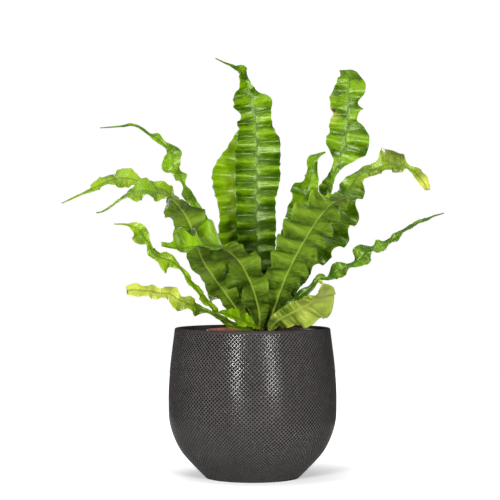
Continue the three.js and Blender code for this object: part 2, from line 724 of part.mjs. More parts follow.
// A centripetal spline through the rows. The width and the look follow the same curve.
function splineThrough(rows, steps) {
  const distance = (a, b) => Math.hypot(a[0] - b[0], a[1] - b[1], a[2] - b[2]);
  const beyond = (a, b) => a.map((value, k) => 2 * value - b[k]);
  const dense = [];
  for (let i = 0; i < rows.length - 1; i++) {
    const p1 = rows[i];
    const p2 = rows[i + 1];
    const p0 = i > 0 ? rows[i - 1] : beyond(p1, p2);
    const p3 = i + 2 < rows.length ? rows[i + 2] : beyond(p2, p1);
    const d0 = Math.sqrt(distance(p0, p1));
    const d1 = Math.sqrt(distance(p1, p2));
    const d2 = Math.sqrt(distance(p2, p3));
    for (let step = 0; step < steps; step++) {
      const t = step / steps;
      const row = p1.map((value, k) => {
        const slope = (p2[k] - value) / d1;
        const m1 = ((value - p0[k]) / d0 - (p2[k] - p0[k]) / (d0 + d1) + slope) * d1;
        const m2 = (slope - (p3[k] - value) / (d1 + d2) + (p3[k] - p2[k]) / d2) * d1;
        const c2 = 3 * (p2[k] - value) - 2 * m1 - m2;
        const c3 = 2 * (value - p2[k]) + m1 + m2;
        return value + t * (m1 + t * (c2 + t * c3));
      });
      dense.push(row);
    }
  }
  dense.push(rows[rows.length - 1]);
  return dense;
}

// The rows of a frond from inside its hole to its tip
function wholeRows({ foot, rows }) {
  const look = rows[0].slice(5);
  const stalk = [STALK_HALF_WIDTH, STALK_HALF_WIDTH];
  const inHole = [STALK_FOOT, CROWN_TOP - 3, CROWN_TOP + 3];
  return [...inHole.map((z) => [...foot, z, ...stalk, ...look]), ...rows];
}

// Places along the midrib, evenly spaced by ripple, each with its own axes
function stationsOf(frond) {
  const dense = splineThrough(wholeRows(frond), 40);
  const places = dense.map((row) => new THREE.Vector3(row[0], row[1], row[2]));
  const lengths = [0];
  for (let i = 1; i < dense.length; i++) {
    lengths.push(lengths[i - 1] + places[i].distanceTo(places[i - 1]));
  }
  const total = lengths[lengths.length - 1];
  const waveAt = (length) => lerp(frond.wave[0], frond.wave[1], length / total);
  const ripples = [0];
  for (let i = 1; i < dense.length; i++) {
    const wave = waveAt((lengths[i] + lengths[i - 1]) / 2);
    ripples.push(ripples[i - 1] + (lengths[i] - lengths[i - 1]) / wave);
  }
  const all = ripples[ripples.length - 1];
  const steps = Math.ceil(Math.max(STATIONS_PER_WAVE * all, total / WIDEST_STEP));
  const stations = [];
  let i = 1;
  for (let k = 0; k <= steps; k++) {
    const want = (all * k) / steps;
    while (i < dense.length - 1 && ripples[i] < want) i++;
    const share = (want - ripples[i - 1]) / (ripples[i] - ripples[i - 1]);
    const row = dense[i].map((value, column) => lerp(dense[i - 1][column], value, share));
    const tangent = places[i].clone().sub(places[i - 1]).normalize();
    const look = new THREE.Vector3(...row.slice(5));
    look.addScaledVector(tangent, -look.dot(tangent)).normalize();
    stations.push({
      length: lerp(lengths[i - 1], lengths[i], share),
      total,
      ripples: want,
      wave: waveAt(lengths[i]),
      place: new THREE.Vector3(row[0], row[1], row[2]),
      halves: row.slice(3, 5).map((half) => Math.max(half, NARROWEST_HALF)),
      tangent,
      look,
      side: new THREE.Vector3().crossVectors(tangent, look),
    });
  }
  return stations;
}

// How the left half, 0, or the right half, 1, ripples at a station
function rippleOf(frond, { length, total, ripples }, right) {
  const rise = ease((length - FLAT_SHARE * total) / (FADE_IN * total));
  const fall = ease((total - length) / (FADE_OUT * total));
  const turn = (TURN * ripples) / lerp(1, RIGHT_RIPPLE, right);
  const start = frond.phase[right];
  const drift = DRIFT * Math.sin(turn / DRIFT_RIPPLES + DRIFT_RIGHT * right + start);
  const uneven = 1 + UNEVEN * Math.sin(turn / UNEVEN_RIPPLES + UNEVEN_RIGHT * right);
  return {
    fade: rise * fall,
    phase: turn + start + drift,
    swing: degToRad(frond.swing[right]) * uneven,
  };
}

// A point of the blade's middle sheet. across runs from -1 on one margin to 1 on the other.
function sheetPoint(frond, station, across) {
  const { wave, place, halves, tangent, look, side } = station;
  const right = across < 0 ? 0 : 1;
  const half = halves[right];
  const { fade, phase, swing } = rippleOf(frond, station, right);
  const reach = Math.abs(across);
  const cup = degToRad(lerp(frond.cup[0], frond.cup[1], station.length / station.total));
  const ripple = fade * swing * Math.sin(phase) * lerp(RIB_TILT, 1, reach);
  const tilt = ripple + cup * (1 - 0.3 * reach);
  const leanShare = LEAN * fade * Math.min(1, swing / FULL_LEAN_SWING);
  const lean = -leanShare * wave * Math.sin(2 * phase) * reach ** LEAN_POWER;
  return place
    .clone()
    .addScaledVector(side, Math.sign(across) * reach * half * Math.cos(tilt))
    .addScaledVector(look, reach * half * Math.sin(tilt))
    .addScaledVector(tangent, lean);
}

// The mean way that the triangles round each point of a sheet look
function normalsOf(sheet) {
  const normals = sheet.map((row) => row.map(() => new THREE.Vector3()));
  const addTriangle = (...ends) => {
    const [p, q, r] = ends.map(([k, c]) => sheet[k][c]);
    const normal = q.clone().sub(p).cross(r.clone().sub(p)).normalize();
    for (const [k, c] of ends) normals[k][c].add(normal);
  };
  for (let k = 0; k < sheet.length - 1; k++) {
    for (let c = 0; c < sheet[k].length - 1; c++) {
      addTriangle([k, c], [k, c + 1], [k + 1, c + 1]);
      addTriangle([k, c], [k + 1, c + 1], [k + 1, c]);
    }
  }
  return normals.map((row) => row.map((normal) => normal.normalize()));
}

// How far the upper and the lower face lie from the middle of the midrib
function ribDepths({ length, total }) {
  const along = length / total;
  const stalk = 1 - ease((along - STALK_SHARE) / STALK_FADE);
  const rib = lerp(RIB_THICKNESS, TIP_RIB_THICKNESS, along);
  const blade = BLADE_THICKNESS / 2;
  return {
    above: lerp(blade, STALK_THICKNESS / 2, stalk),
    below: lerp(rib - blade, STALK_THICKNESS / 2, stalk),
  };
}

// Three points across the upper face of each station, then three across the lower face
function frondPoints(frond, stations) {
  const sheet = stations.map((station) => [-1, 0, 1].map((u) => sheetPoint(frond, station, u)));
  const normals = normalsOf(sheet);
  const points = [];
  stations.forEach((station, k) => {
    const rib = ribDepths(station);
    const blade = BLADE_THICKNESS / 2;
    const above = [blade, rib.above, blade];
    const below = [blade, rib.below, blade];
    const move = (c, depth) => sheet[k][c].clone().addScaledVector(normals[k][c], depth);
    points.push(...above.map((depth, c) => move(c, depth)));
    points.push(...below.map((depth, c) => move(c, -depth)));
  });
  return points;
}

// Triangles of a closed strip, split the same way on both faces
function stripFaces(count) {
  const faces = [];
  const top = (k, c) => 6 * k + c;
  const under = (k, c) => 6 * k + 3 + c;
  const quad = (a, b, c, d) => faces.push(a, b, c, a, c, d);
  for (let k = 0; k < count - 1; k++) {
    for (const c of [0, 1]) {
      quad(top(k, c), top(k, c + 1), top(k + 1, c + 1), top(k + 1, c));
      quad(under(k, c), under(k + 1, c), under(k + 1, c + 1), under(k, c + 1));
    }
    quad(under(k, 0), top(k, 0), top(k + 1, 0), under(k + 1, 0));
    quad(top(k, 2), under(k, 2), under(k + 1, 2), top(k + 1, 2));
  }
  const last = count - 1;
  for (const c of [0, 1]) {
    quad(under(0, c), under(0, c + 1), top(0, c + 1), top(0, c));
    quad(top(last, c), top(last, c + 1), under(last, c + 1), under(last, c));
  }
  return faces;
}

// A frond is one closed strip, thickest along its midrib
function makeFrond(frond) {
  const stations = stationsOf(frond);
  const places = frondPoints(frond, stations).flatMap((point) => point.toArray());
  const geometry = new THREE.BufferGeometry()
    .setAttribute("position", new THREE.Float32BufferAttribute(places, 3))
    .setIndex(stripFaces(stations.length));
  return named(frond.name, geometry, MATERIALS.frond);
}

const fern = new THREE.Group();
fern.add(makePlanter(), makeNurseryPot(), makeSoil(), makeCrown());
for (const frond of FRONDS) fern.add(makeFrond(frond));

export default fern;
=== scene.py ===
# The looks of a crispy wave bird's nest fern in a black planter.
# Sizes are millimetres where nothing else is said, and MM turns them into metres.
import math

import bpy
import numpy as np
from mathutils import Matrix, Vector


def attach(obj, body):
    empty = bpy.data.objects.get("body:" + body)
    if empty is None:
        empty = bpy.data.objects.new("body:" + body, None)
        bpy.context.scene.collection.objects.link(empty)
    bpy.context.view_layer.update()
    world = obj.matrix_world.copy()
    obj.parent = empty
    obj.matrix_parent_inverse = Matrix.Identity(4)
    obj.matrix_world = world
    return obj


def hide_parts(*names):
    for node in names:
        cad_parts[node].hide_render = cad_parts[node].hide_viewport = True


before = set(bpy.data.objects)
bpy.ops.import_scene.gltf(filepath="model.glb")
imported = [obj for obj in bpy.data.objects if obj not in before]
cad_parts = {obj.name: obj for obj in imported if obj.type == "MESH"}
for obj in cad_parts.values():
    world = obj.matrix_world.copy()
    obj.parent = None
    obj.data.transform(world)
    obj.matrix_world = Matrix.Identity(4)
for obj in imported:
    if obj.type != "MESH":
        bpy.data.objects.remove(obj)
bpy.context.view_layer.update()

MM = 0.001
TURN = 2 * math.pi
SEED = 7

# The camera stands level, 1.9 m in front of the planter
CAMERA_PLACE = (-2.7, -1900, 243)
CAMERA_LENS = 127.7
CAMERA_SENSOR = 36

# Planter
PLANTER_HEIGHT = 160
PLANTER_MOUTH_RADIUS = 83.3
PLANTER_LIP_ROUND = 1.5
PLANTER_WALL = 6
PLANTER_FLOOR = 9
PLANTER_UNDER = [(24, 1.2), (44, 1.2), (45.5, 0), (49, 0)]
PLANTER_HOLLOW = 1.2
PLANTER_OUTLINE = [(50, 0), (60, 10), (77.5, 30), (88.2, 56), (90, 80), (88.4, 115), (83.3, 158.5)]
OUTLINE_STEPS = 60
LIP_POINTS = 7
DIAMONDS_ROUND = 128
DIAMOND_HEIGHT = 4.2
DIAMOND_DEPTH = 0.8
DIAMOND_STEPS = 4
RIDGE_EDGE = 0.1
PLAIN_BAND = 1.2
BAND_FADE = 1.5
PLAIN_FOOT = 1.5
FOOT_FADE = 3
PLAIN_RIDGE = 0.35

# Nursery pot, soil and crown
NURSERY_CENTRE_X = 10
NURSERY_RIM_RADIUS = 60
NURSERY_RIM_STEP = 2
NURSERY_RIM_HEIGHT = 9
NURSERY_FOOT_RADIUS = 38.5
NURSERY_TOP = 158
NURSERY_BASE = 9.3
NURSERY_WALL = 1.6
NURSERY_FLOOR = 2.4
NURSERY_COLUMNS = 144
SOIL_TOP = 146
SOIL_GAP = 0.4
SOIL_EDGE = 3
SOIL_COLUMNS = 180
SOIL_RINGS = 44
SOIL_ROUGHNESS = ((0.35, 0.7), (0.8, 0.45), (1.7, 0.3))
SOIL_WAVES = 5
CRUMBS = 420
CRUMB_SIZES = (0.7, 2.6)
CROWN_X = 11
CROWN_RADIUS = 23
CROWN_FOOT = 128
CROWN_TOP = 150.5
CROWN_SHOULDER = 144
CROWN_MOUND = [(22.3, 146.3), (20.8, 148), (18, 149.2), (14, 150), (9, 150.3), (0, 150.4)]
CROWN_COLUMNS = 64
SCALES = 520
SCALE_LENGTHS = (3, 7)
SCALE_WIDTHS = (0.35, 0.75)
SCALE_THICKNESS = 0.12
SCALE_BEND = 1.2
SCALE_TAPER = ((0, 1.0), (0.35, 1.1), (0.7, 0.6), (1, 0.08))

# The white floor glows a little round the planter's foot and more further out, so that only
# the shadow at the foot is left of it. The room is darker at the horizon than overhead.
FLOOR_FRONT = -200
FLOOR_FRONT_HALF = 270
FLOOR_BACK = 1600
FLOOR_BACK_HALF = 540
NEAR_GLOW = 0.25
FAR_GLOW = 1.0
GLOW_NEAR = 60
GLOW_FAR = 240
HORIZON_LIGHT = 0.05
ZENITH_LIGHT = 0.42

# Stalks and blades
STALK_FOOT = 141.4
STALK_HALF_WIDTH = 1.8
STALK_RADIUS = 1.6
NARROWEST_HALF = 0.3
BLADE_THICKNESS = 0.7
RIB_DEPTH = 1.5
RIB_WIDTH = 1.3
RIB_TIP_DEPTH = 0.45
RIB_TIP_WIDTH = 0.6
RIB_STEPS = 40
GROOVE_DEPTH = 0.35
GROOVE_WIDTH = 0.9
EDGE_THICKNESS = 0.25
EDGE_SHARE = 1 / 3
STATION_STEP = 1.5
PLEAT_HEIGHT = 0.8
PLEAT_LENGTHS = (0.28, 0.42)
FINE_PLEAT_HEIGHT = 0.6
FINE_PLEAT_LENGTH = 0.61
FINE_PLEAT_SLANT = 2.2
PLEAT_AT_RIB = 0.35
FULL_PLEAT_HALF = 10
PLEAT_START = 0.25
CUP_OPENING = 0.3
THIN_STALK_EDGE = 0.02
COLUMNS = 14
COLUMN_SPREAD = 0.9
STALK_REACH = 3
STALK_SHARE = 0.06
STALK_FADE = 0.16
FLAT_SHARE = 0.12
FADE_IN = 0.12
FADE_OUT = 0.1
RIGHT_RIPPLE = 1.06
DRIFT = 0.6
DRIFT_RIPPLES = 3.7
DRIFT_RIGHT = 1.3
UNEVEN = 0.25
UNEVEN_RIPPLES = 2.3
UNEVEN_RIGHT = 2.1
RIB_TILT = 0.55
LEAN = 0.065
LEAN_POWER = 1.3
FULL_LEAN_SWING = 0.6

# Each frond: its foot in the crown, the length of a ripple near the foot and near the tip, the
# tilt of the left and right half in a ripple in degrees, where each starts, how far the blade
# cups near the foot and near the tip in degrees, and rows along the midrib: x, y, z, the left
# and the right half's width, then the way that the upper side looks
FRONDS = {
    "tall_back": dict(foot=(11, 0), wave=(17, 17), swing=(15, 15), phase=(0, 0.8), cup=(4, 4), rows=[
        (10, 14, 175, 8, 8, 0, -1, 0.2), (7, 31, 215, 17, 17, 0, -1, 0.2), (5, 37, 260, 22, 21, 0, -1, 0.1),
        (5, 40, 298, 23.5, 21, 0, -1, 0), (5, 41, 320, 24, 25.5, 0, -1, 0), (5, 42, 336, 24, 26, 0, -1, 0),
        (5, 42, 352, 24, 26, 0, -1, 0), (4.5, 42, 364, 22, 25.5, 0, -1, 0), (4, 42, 374, 20, 20.5, 0, -1, 0),
        (3, 42, 386, 20, 18, 0.1, -1, 0), (1.5, 41, 394, 15, 20, 0.1, -1, 0),
        (0.5, 40, 401, 21, 21.5, 0.2, -1, 0.1), (-0.5, 40, 406, 24, 20, 0.2, -1, 0.1),
        (-2, 39, 411.5, 21.5, 12, 0.2, -1, 0.2), (-4, 38, 417.5, 17, 7.5, 0.2, -1, 0.2),
        (-6.5, 37, 424, 12, 5, 0.3, -0.9, 0.3), (-9, 35, 431, 6.5, 5.5, 0.3, -0.9, 0.4),
        (-13, 31, 438, 5.5, 8, 0.2, -0.8, 0.5), (-19.5, 29, 442, 3, 3.5, 0.1, -0.7, 0.7),
        (-28, 28, 445.5, 1.8, 1.8, 0, -0.6, 0.8), (-40, 26, 451.5, 0.4, 0.4, 0, -0.5, 0.9),
    ]),
    "behind_left": dict(foot=(7.5, 6), wave=(19, 19), swing=(18, 18), phase=(1, 2), cup=(4, 4), rows=[
        (2, 24, 180, 8, 8, 0, -1, 0.3), (-8, 46, 222, 20, 20, 0, -1, 0.2),
        (-14, 58, 252, 26, 26, 0, -1, 0.1), (-18, 64, 285, 19, 19, 0, -1, 0),
        (-20, 66, 325, 25.5, 25.5, 0, -1, 0), (-15, 66, 352, 15, 15, 0, -1, 0),
        (-8, 66, 375, 7, 7, 0, -1, 0), (0, 64, 390, 0.4, 0.4, 0, -1, 0),
    ]),
    "slim_top_left": dict(foot=(0.5, 6), wave=(30, 30), swing=(14, 14), phase=(2.2, 5.3), cup=(3, 3), rows=[
        (-18, 26, 195, 5, 5, 0.4, -0.8, 0.4), (-40, 42, 245, 7, 7, 0.4, -0.8, 0.4),
        (-55, 57, 278, 6, 6, 0.3, -0.9, 0.4), (-64, 66, 293, 5, 5, 0.3, -0.9, 0.4),
        (-71.5, 72, 307, 8, 5, 0.3, -0.9, 0.4), (-76.5, 75, 316, 2, 2, 0.3, -0.9, 0.4),
        (-80, 77, 324.5, 7, 8, 0.2, -0.9, 0.3), (-84.5, 79, 330.5, 6, 5, 0.2, -0.9, 0.3),
        (-88, 80, 337, 14, 8, 0.1, -1, 0.2), (-89, 81, 344.5, 11, 9, 0.1, -1, 0.2),
        (-90, 82, 351, 7, 11, 0.1, -1, 0.2), (-94, 83, 357.5, 3.5, 5.5, 0.1, -1, 0.2),
        (-100.5, 84, 363, 3.5, 3, 0.1, -0.9, 0.3), (-107.5, 85, 368.5, 5, 6, 0.1, -0.9, 0.4),
        (-115, 86, 372.5, 2, 2, 0, -0.8, 0.5), (-123, 87, 378.5, 2.5, 2.5, 0, -0.6, 0.8),
        (-135, 88, 383, 2.5, 2.5, 0, -0.6, 0.8), (-151, 90, 381.5, 1.8, 1.8, -0.1, -0.6, 0.8),
        (-171, 92, 380.5, 0.4, 0.4, -0.1, -0.6, 0.8),
    ]),
    "arch_left_back": dict(foot=(4, 0), wave=(24, 36), swing=(20, 16), phase=(0.5, 2.2), cup=(4, 4), rows=[
        (-16, 8, 188, 8, 8, 0.6, 0.2, 0.6), (-40, 14, 236, 16, 16, 0.6, 0.2, 0.6),
        (-62, 16, 272, 17, 17, 0.5, 0.1, 0.8), (-80, 16, 295, 17, 16, 0.2, -0.3, 0.8),
        (-97, 14, 308, 13, 10, 0, -0.6, 0.8), (-109.5, 13, 313, 12, 7, -0.1, -0.7, 0.7),
        (-121, 13, 316.5, 11, 6, -0.1, -0.7, 0.7), (-131, 12, 319.5, 12, 12, -0.1, -0.7, 0.7),
        (-142, 11, 320.5, 13, 13, -0.2, -0.7, 0.7), (-153.5, 10, 318, 11.5, 11.5, -0.2, -0.7, 0.7),
        (-165, 9, 312.5, 8, 8, -0.3, -0.7, 0.7), (-177, 8, 306.5, 2.5, 3.5, -0.3, -0.7, 0.7),
        (-190, 6, 300, 2, 2, -0.3, -0.7, 0.7), (-205, 4, 293.5, 0.4, 0.4, -0.3, -0.7, 0.7),
    ]),
    "arch_left_front": dict(foot=(-3, 0), wave=(30, 30), swing=(16, 10), phase=(0.5, 2.2), cup=(6, 4), rows=[
        (-14, -5, 176, 8, 10, 0.4, 0.8, 0.4), (-35, -14, 206, 17, 17, 0.4, 0.8, 0.4),
        (-51, -22, 230, 18, 18, 0.4, 0.8, 0.4), (-59, -30, 250, 16, 17, 0.4, 0.8, 0.4),
        (-65, -37, 269, 17, 21, 0.4, 0.8, 0.4), (-74, -44, 286, 25, 27, 0.4, 0.6, 0.7),
        (-86, -50, 297.5, 9, 20, 0.2, -0.1, 0.9), (-98.5, -54, 302.5, 13, 15, 0.1, -0.5, 0.8),
        (-109, -57, 304.5, 18, 19, 0, -0.6, 0.8), (-120, -59, 304, 15, 11, 0, -0.6, 0.8),
        (-130.5, -60, 299.5, 8, 6, -0.1, -0.5, 0.8), (-139.5, -61, 293.5, 2.5, 3, -0.3, -0.5, 0.8),
        (-150, -62, 286, 2.2, 2.2, -0.4, -0.5, 0.8), (-157, -63, 282.5, 2.2, 1.6, -0.4, -0.4, 0.8),
        (-162, -64, 282, 0.5, 0.5, -0.4, -0.4, 0.8),
    ]),
    "twisted_left": dict(foot=(0.5, -6), wave=(24, 24), swing=(18, 18), phase=(2, 4.6), cup=(5, 5), rows=[
        (-28, -13, 164, 3, 3, 0.5, -0.5, 0.6), (-42, -18, 180.5, 5, 5, 0.5, -0.6, 0.6),
        (-53.5, -22, 194.5, 6, 5, 0.5, -0.6, 0.6), (-64, -27, 208, 5, 4.5, 0.5, -0.6, 0.6),
        (-75.5, -32, 223, 3.5, 3.5, 0.4, -0.7, 0.5), (-84, -35, 231, 8, 5, 0.2, -0.8, 0.5),
        (-91, -37, 234, 20, 7, 0, -0.9, 0.4), (-98.5, -39, 236, 6, 5, 0, -0.9, 0.4),
        (-105.5, -41, 242, 6, 4, -0.2, -0.9, 0.3), (-108.5, -43, 249.5, 3, 3, -0.3, -0.9, 0.3),
        (-114.5, -45, 257.5, 12, 7, -0.3, -0.9, 0.3), (-120, -47, 265, 8.5, 7, -0.3, -0.9, 0.3),
        (-129, -48, 269, 3, 3, -0.2, -0.6, 0.7), (-144.5, -50, 270.5, 0.4, 0.4, 0, -0.5, 0.9),
    ]),
    "low_wavy_left": dict(foot=(4, -12), wave=(18, 18), swing=(16, 16), phase=(1, 2.2), cup=(0, 0), rows=[
        (-18, -20, 163.5, 3, 3, 0.2, -0.8, 0.6), (-32, -26, 171, 3, 3, 0.1, -0.85, 0.5),
        (-45, -31, 177.5, 2.5, 2.5, 0, -0.85, 0.5), (-52.5, -34, 180.5, 4.5, 3, 0, -0.85, 0.5),
        (-59.5, -37, 183.5, 12, 6, 0, -0.85, 0.5), (-67.5, -41, 187.5, 7, 8, 0, -0.85, 0.5),
        (-77, -44, 191, 13, 5, 0, -0.85, 0.5), (-86, -47, 197, 7, 11, 0, -0.85, 0.5),
        (-96.5, -50, 198, 7, 5, 0, -0.85, 0.5), (-106, -52, 200, 8, 9, 0, -0.85, 0.5),
        (-114, -53, 200.5, 7, 5.5, 0, -0.85, 0.5), (-122.5, -54, 201.5, 7.5, 8, 0, -0.85, 0.5),
        (-131, -55, 200.5, 5, 6, 0, -0.85, 0.5),
    ]),
    "short_front_left": dict(foot=(11, -12), wave=(26, 26), swing=(12, 12),
        phase=(0, 2.6), cup=(8, 8), rows=[
        (4, -36, 163.5, 5, 6, -0.1, -0.85, 0.5), (-7, -52, 168, 8, 13, -0.1, -0.85, 0.5),
        (-17, -66, 173, 9, 10, -0.1, -0.85, 0.5), (-27.5, -78, 177.5, 7, 6, -0.2, -0.8, 0.6),
        (-36.5, -88, 179, 0.5, 0.5, -0.2, -0.8, 0.7),
    ]),
    "arch_front_left": dict(foot=(7.5, -6), wave=(36, 29), swing=(18, 22),
        phase=(0.5, 2.4), cup=(8, 30), rows=[
        (7, -24, 178, 10, 12, 0.3, 0.85, 0.4), (0, -42, 204, 17, 24, 0.3, 0.85, 0.4),
        (-10, -58, 226, 20, 28, 0.35, 0.7, 0.6), (-23, -72, 241, 20, 34, 0.3, 0.3, 0.9),
        (-36, -82, 246.5, 14, 40, 0.1, -0.2, 1), (-46, -88, 247.5, 9, 42, 0, -0.5, 0.85),
        (-58, -93, 246.5, 8, 12, 0, -0.6, 0.8), (-70, -98, 245, 8, 31, 0, -0.65, 0.75),
        (-80, -102, 245, 6, 9, 0, -0.5, 0.85), (-92, -107, 247.5, 4, 5, -0.1, -0.5, 0.85),
    ]),
    "broad_front_right": dict(foot=(14.5, -6), wave=(19, 19), swing=(16, 16),
        phase=(0, 1.2), cup=(6, 10), rows=[
        (22, -15, 178, 11, 11, -0.3, 0.85, 0.4), (36, -33, 218, 22, 22, -0.3, 0.85, 0.4),
        (54, -53, 254, 25, 28, -0.3, 0.85, 0.4), (70, -69, 279, 24, 30, -0.3, 0.7, 0.6),
        (84, -82, 293, 20, 24, -0.1, 0.3, 0.9), (98, -92, 297, 12, 12, 0.1, -0.1, 1),
        (110, -99, 297, 1, 1, 0.2, -0.2, 1),
    ]),
    "long_right": dict(foot=(25, 0), wave=(20, 34), swing=(22, 22), phase=(0, 1.8), cup=(6, 6), rows=[
        (38, -3, 190, 9, 6, -0.3, -0.9, 0.4), (57, -1, 226, 20, 11, -0.3, -0.9, 0.4),
        (68, 2, 241, 23, 17, -0.3, -0.9, 0.4), (78, 5, 256, 25, 24, -0.3, -0.9, 0.4),
        (93, 13, 284, 23, 23, -0.3, -0.9, 0.4), (103, 20, 306, 15, 19, -0.3, -0.8, 0.5),
        (112, 23, 320, 8, 14, -0.3, -0.8, 0.6), (123, 24, 328.5, 7, 8, -0.1, -0.9, 0.4),
        (132, 24, 331, 6, 7, 0, -0.9, 0.4), (138.5, 24, 333, 10, 8, 0, -0.9, 0.4),
        (143.5, 23, 334.5, 20, 9, 0, -0.9, 0.4), (150, 23, 335.5, 23, 8.5, 0, -0.9, 0.4),
        (156.5, 22, 335, 19.5, 8.5, 0.1, -0.9, 0.4), (163, 20, 334, 10, 7, 0.2, -0.9, 0.4),
        (168.5, 18, 332, 3, 3, 0.2, -0.9, 0.4), (174.5, 16, 328, 7, 5.5, 0.3, -0.9, 0.4),
        (180, 13, 321.5, 10, 5.5, 0.4, -0.8, 0.4), (185.5, 11, 314, 6.5, 6.5, 0.5, -0.8, 0.3),
        (188, 9, 307.5, 4.5, 4.5, 0.6, -0.7, 0.3),
    ]),
    "upright_right": dict(foot=(21.5, 6), wave=(24, 24), swing=(14, 14), phase=(0, 1), cup=(2, 2), rows=[
        (34, 28, 190, 6, 6, -0.8, -0.4, 0.3), (53, 51, 240, 12, 12, -0.8, -0.4, 0.3),
        (70, 64, 286, 11, 11, -0.7, -0.5, 0.3), (84, 68, 316, 8, 7, -0.5, -0.8, 0.3),
        (91.5, 68, 332, 4.5, 5, -0.3, -0.9, 0.2), (96, 68, 340.5, 7, 9, -0.2, -1, 0),
        (98.5, 68, 347.5, 12, 18, 0, -1, 0), (100.5, 68, 355, 19, 26.5, 0, -1, 0),
        (102.5, 68, 363, 22, 27, 0, -1, 0), (104, 68, 371.5, 18.5, 26, 0, -1, 0),
        (105, 68, 379.5, 20.5, 21, 0, -1, 0), (105.5, 68, 387, 19, 11, 0, -1, 0.1),
        (106, 68, 394, 16.5, 12, 0, -1, 0.1), (106, 68, 400.5, 20, 17.5, 0, -1, 0.1),
        (106.5, 68, 407, 22, 11, 0, -1, 0.1), (107, 68, 413, 21, 14, 0, -1, 0.1),
        (107.5, 68, 419.5, 18, 17.5, 0, -1, 0.2), (108, 68.5, 427, 15.5, 17.5, 0, -1, 0.2),
        (107.5, 70, 434, 13.5, 13.5, 0, -0.9, 0.4), (105.5, 75, 439.5, 9, 9.5, 0, -0.8, 0.6),
        (101.5, 80, 442.5, 5, 4, 0, -0.6, 0.8), (97.5, 84, 444, 0.5, 0.5, 0, -0.5, 0.9),
    ]),
    "twisted_right": dict(foot=(18, 0), wave=(26, 26), swing=(26, 26), phase=(0, 2), cup=(6, 6), rows=[
        (24, 7, 190, 6, 6, 0, -1, 0.2), (38, 25, 238, 13, 13, 0.1, -1, 0.2),
        (52, 41, 282, 15, 14, 0.2, -1, 0.1), (60, 46, 308, 17, 13, 0.3, -0.9, 0),
        (64, 47, 320, 10, 9, 0.3, -0.9, 0.1), (66.5, 48, 331, 6, 6, 0.2, -1, 0.1),
        (66.5, 48, 340, 8, 5.5, 0.1, -1, 0.1), (71, 48, 346, 3.5, 3.5, 0, -0.9, 0.4),
        (80, 47, 350.5, 1, 1, 0, -0.8, 0.6),
    ]),
    "low_wavy_right": dict(foot=(21.5, -6), wave=(24, 24), swing=(14, 14),
        phase=(0.6, 3.7), cup=(0, 0), rows=[
        (32, -22, 180.5, 2.5, 2.5, -0.3, -0.9, 0.4), (41.5, -26, 188, 4, 4.5, -0.3, -0.9, 0.4),
        (52, -28, 196, 6, 5.5, -0.3, -0.9, 0.4), (60.5, -29.5, 203, 3, 4, -0.3, -0.9, 0.4),
        (67, -30.5, 210.5, 3.5, 3.5, -0.3, -0.9, 0.4), (72, -31, 213.5, 5, 3, -0.3, -0.9, 0.4),
        (79, -31.5, 213, 2, 2, -0.3, -0.9, 0.4), (87, -32, 219, 9, 9, -0.3, -0.9, 0.4),
        (93, -32.5, 222, 10, 9, -0.3, -0.9, 0.4), (100.5, -33, 226.5, 3, 3, -0.3, -0.9, 0.4),
        (108, -33.5, 229.5, 3.5, 6, -0.3, -0.9, 0.4), (114, -34, 234.5, 12, 11, -0.3, -0.9, 0.4),
        (118.5, -34.5, 241, 11, 9, -0.3, -0.9, 0.4), (125.5, -35.5, 244.5, 3, 3, -0.3, -0.9, 0.4),
        (133, -36.5, 246, 9, 8, -0.3, -0.9, 0.4), (139, -37, 250, 4, 5, -0.3, -0.9, 0.4),
        (144, -37.5, 253, 3, 3, -0.3, -0.9, 0.4), (150.5, -38.5, 256.5, 5, 5, -0.3, -0.9, 0.4),
        (157, -39, 262.5, 2.2, 2.2, -0.3, -0.8, 0.6), (165, -40, 267.5, 3, 3, -0.3, -0.7, 0.7),
        (175.5, -40.5, 272.5, 3.5, 3.5, -0.3, -0.5, 0.8), (188, -41, 278, 2.5, 2.5, -0.3, -0.4, 0.9),
        (200.5, -42, 282, 0.4, 0.4, -0.3, -0.3, 0.9),
    ]),
    "short_front_right": dict(foot=(18, -12), wave=(26, 26), swing=(10, 10), phase=(0, 2), cup=(8, 8), rows=[
        (22, -28, 164, 6, 6, 0.2, 0.85, 0.4), (31, -46, 172, 14, 9, 0.3, 0.85, 0.4),
        (43, -60, 179, 21, 10, 0.25, 0.85, 0.4), (55, -74, 186, 26, 10, 0, 0.85, 0.5),
        (64, -86, 192, 26, 12, -0.3, 0.6, 0.7), (70, -95, 199, 18, 13, -0.5, 0.2, 0.8),
        (70.5, -100, 207, 6, 9, -0.6, -0.2, 0.7), (67, -102, 213, 0.5, 0.5, -0.6, -0.4, 0.6),
    ]),
    "rear_left": dict(foot=(4, 12), wave=(26, 26), swing=(26, 26), phase=(0, 2), cup=(6, 6), rows=[
        (-8, 44, 184, 9, 9, 0.2, -0.8, 0.6), (-24, 82, 224, 20, 20, 0.2, -0.7, 0.7),
        (-36, 116, 250, 21, 21, 0.1, -0.4, 0.9), (-46, 148, 258, 16, 16, 0, 0, 1),
        (-54, 174, 252, 8, 8, -0.1, 0.3, 0.9), (-58, 192, 240, 0.5, 0.5, -0.1, 0.4, 0.9),
    ]),
    "rear_middle": dict(foot=(11, 12), wave=(22, 22), swing=(20, 20), phase=(0, 2), cup=(6, 6), rows=[
        (11, 44, 196, 8, 8, 0, -0.8, 0.5), (9, 80, 256, 14, 14, 0, -0.8, 0.6),
        (7, 108, 306, 16, 16, 0, -0.7, 0.7), (6, 134, 340, 15, 15, 0, -0.4, 0.9),
        (6, 160, 352, 10, 10, 0, 0.1, 1), (8, 184, 344, 0.5, 0.5, 0, 0.4, 0.9),
    ]),
    "rear_right": dict(foot=(18, 12), wave=(26, 26), swing=(26, 26), phase=(0, 2), cup=(6, 6), rows=[
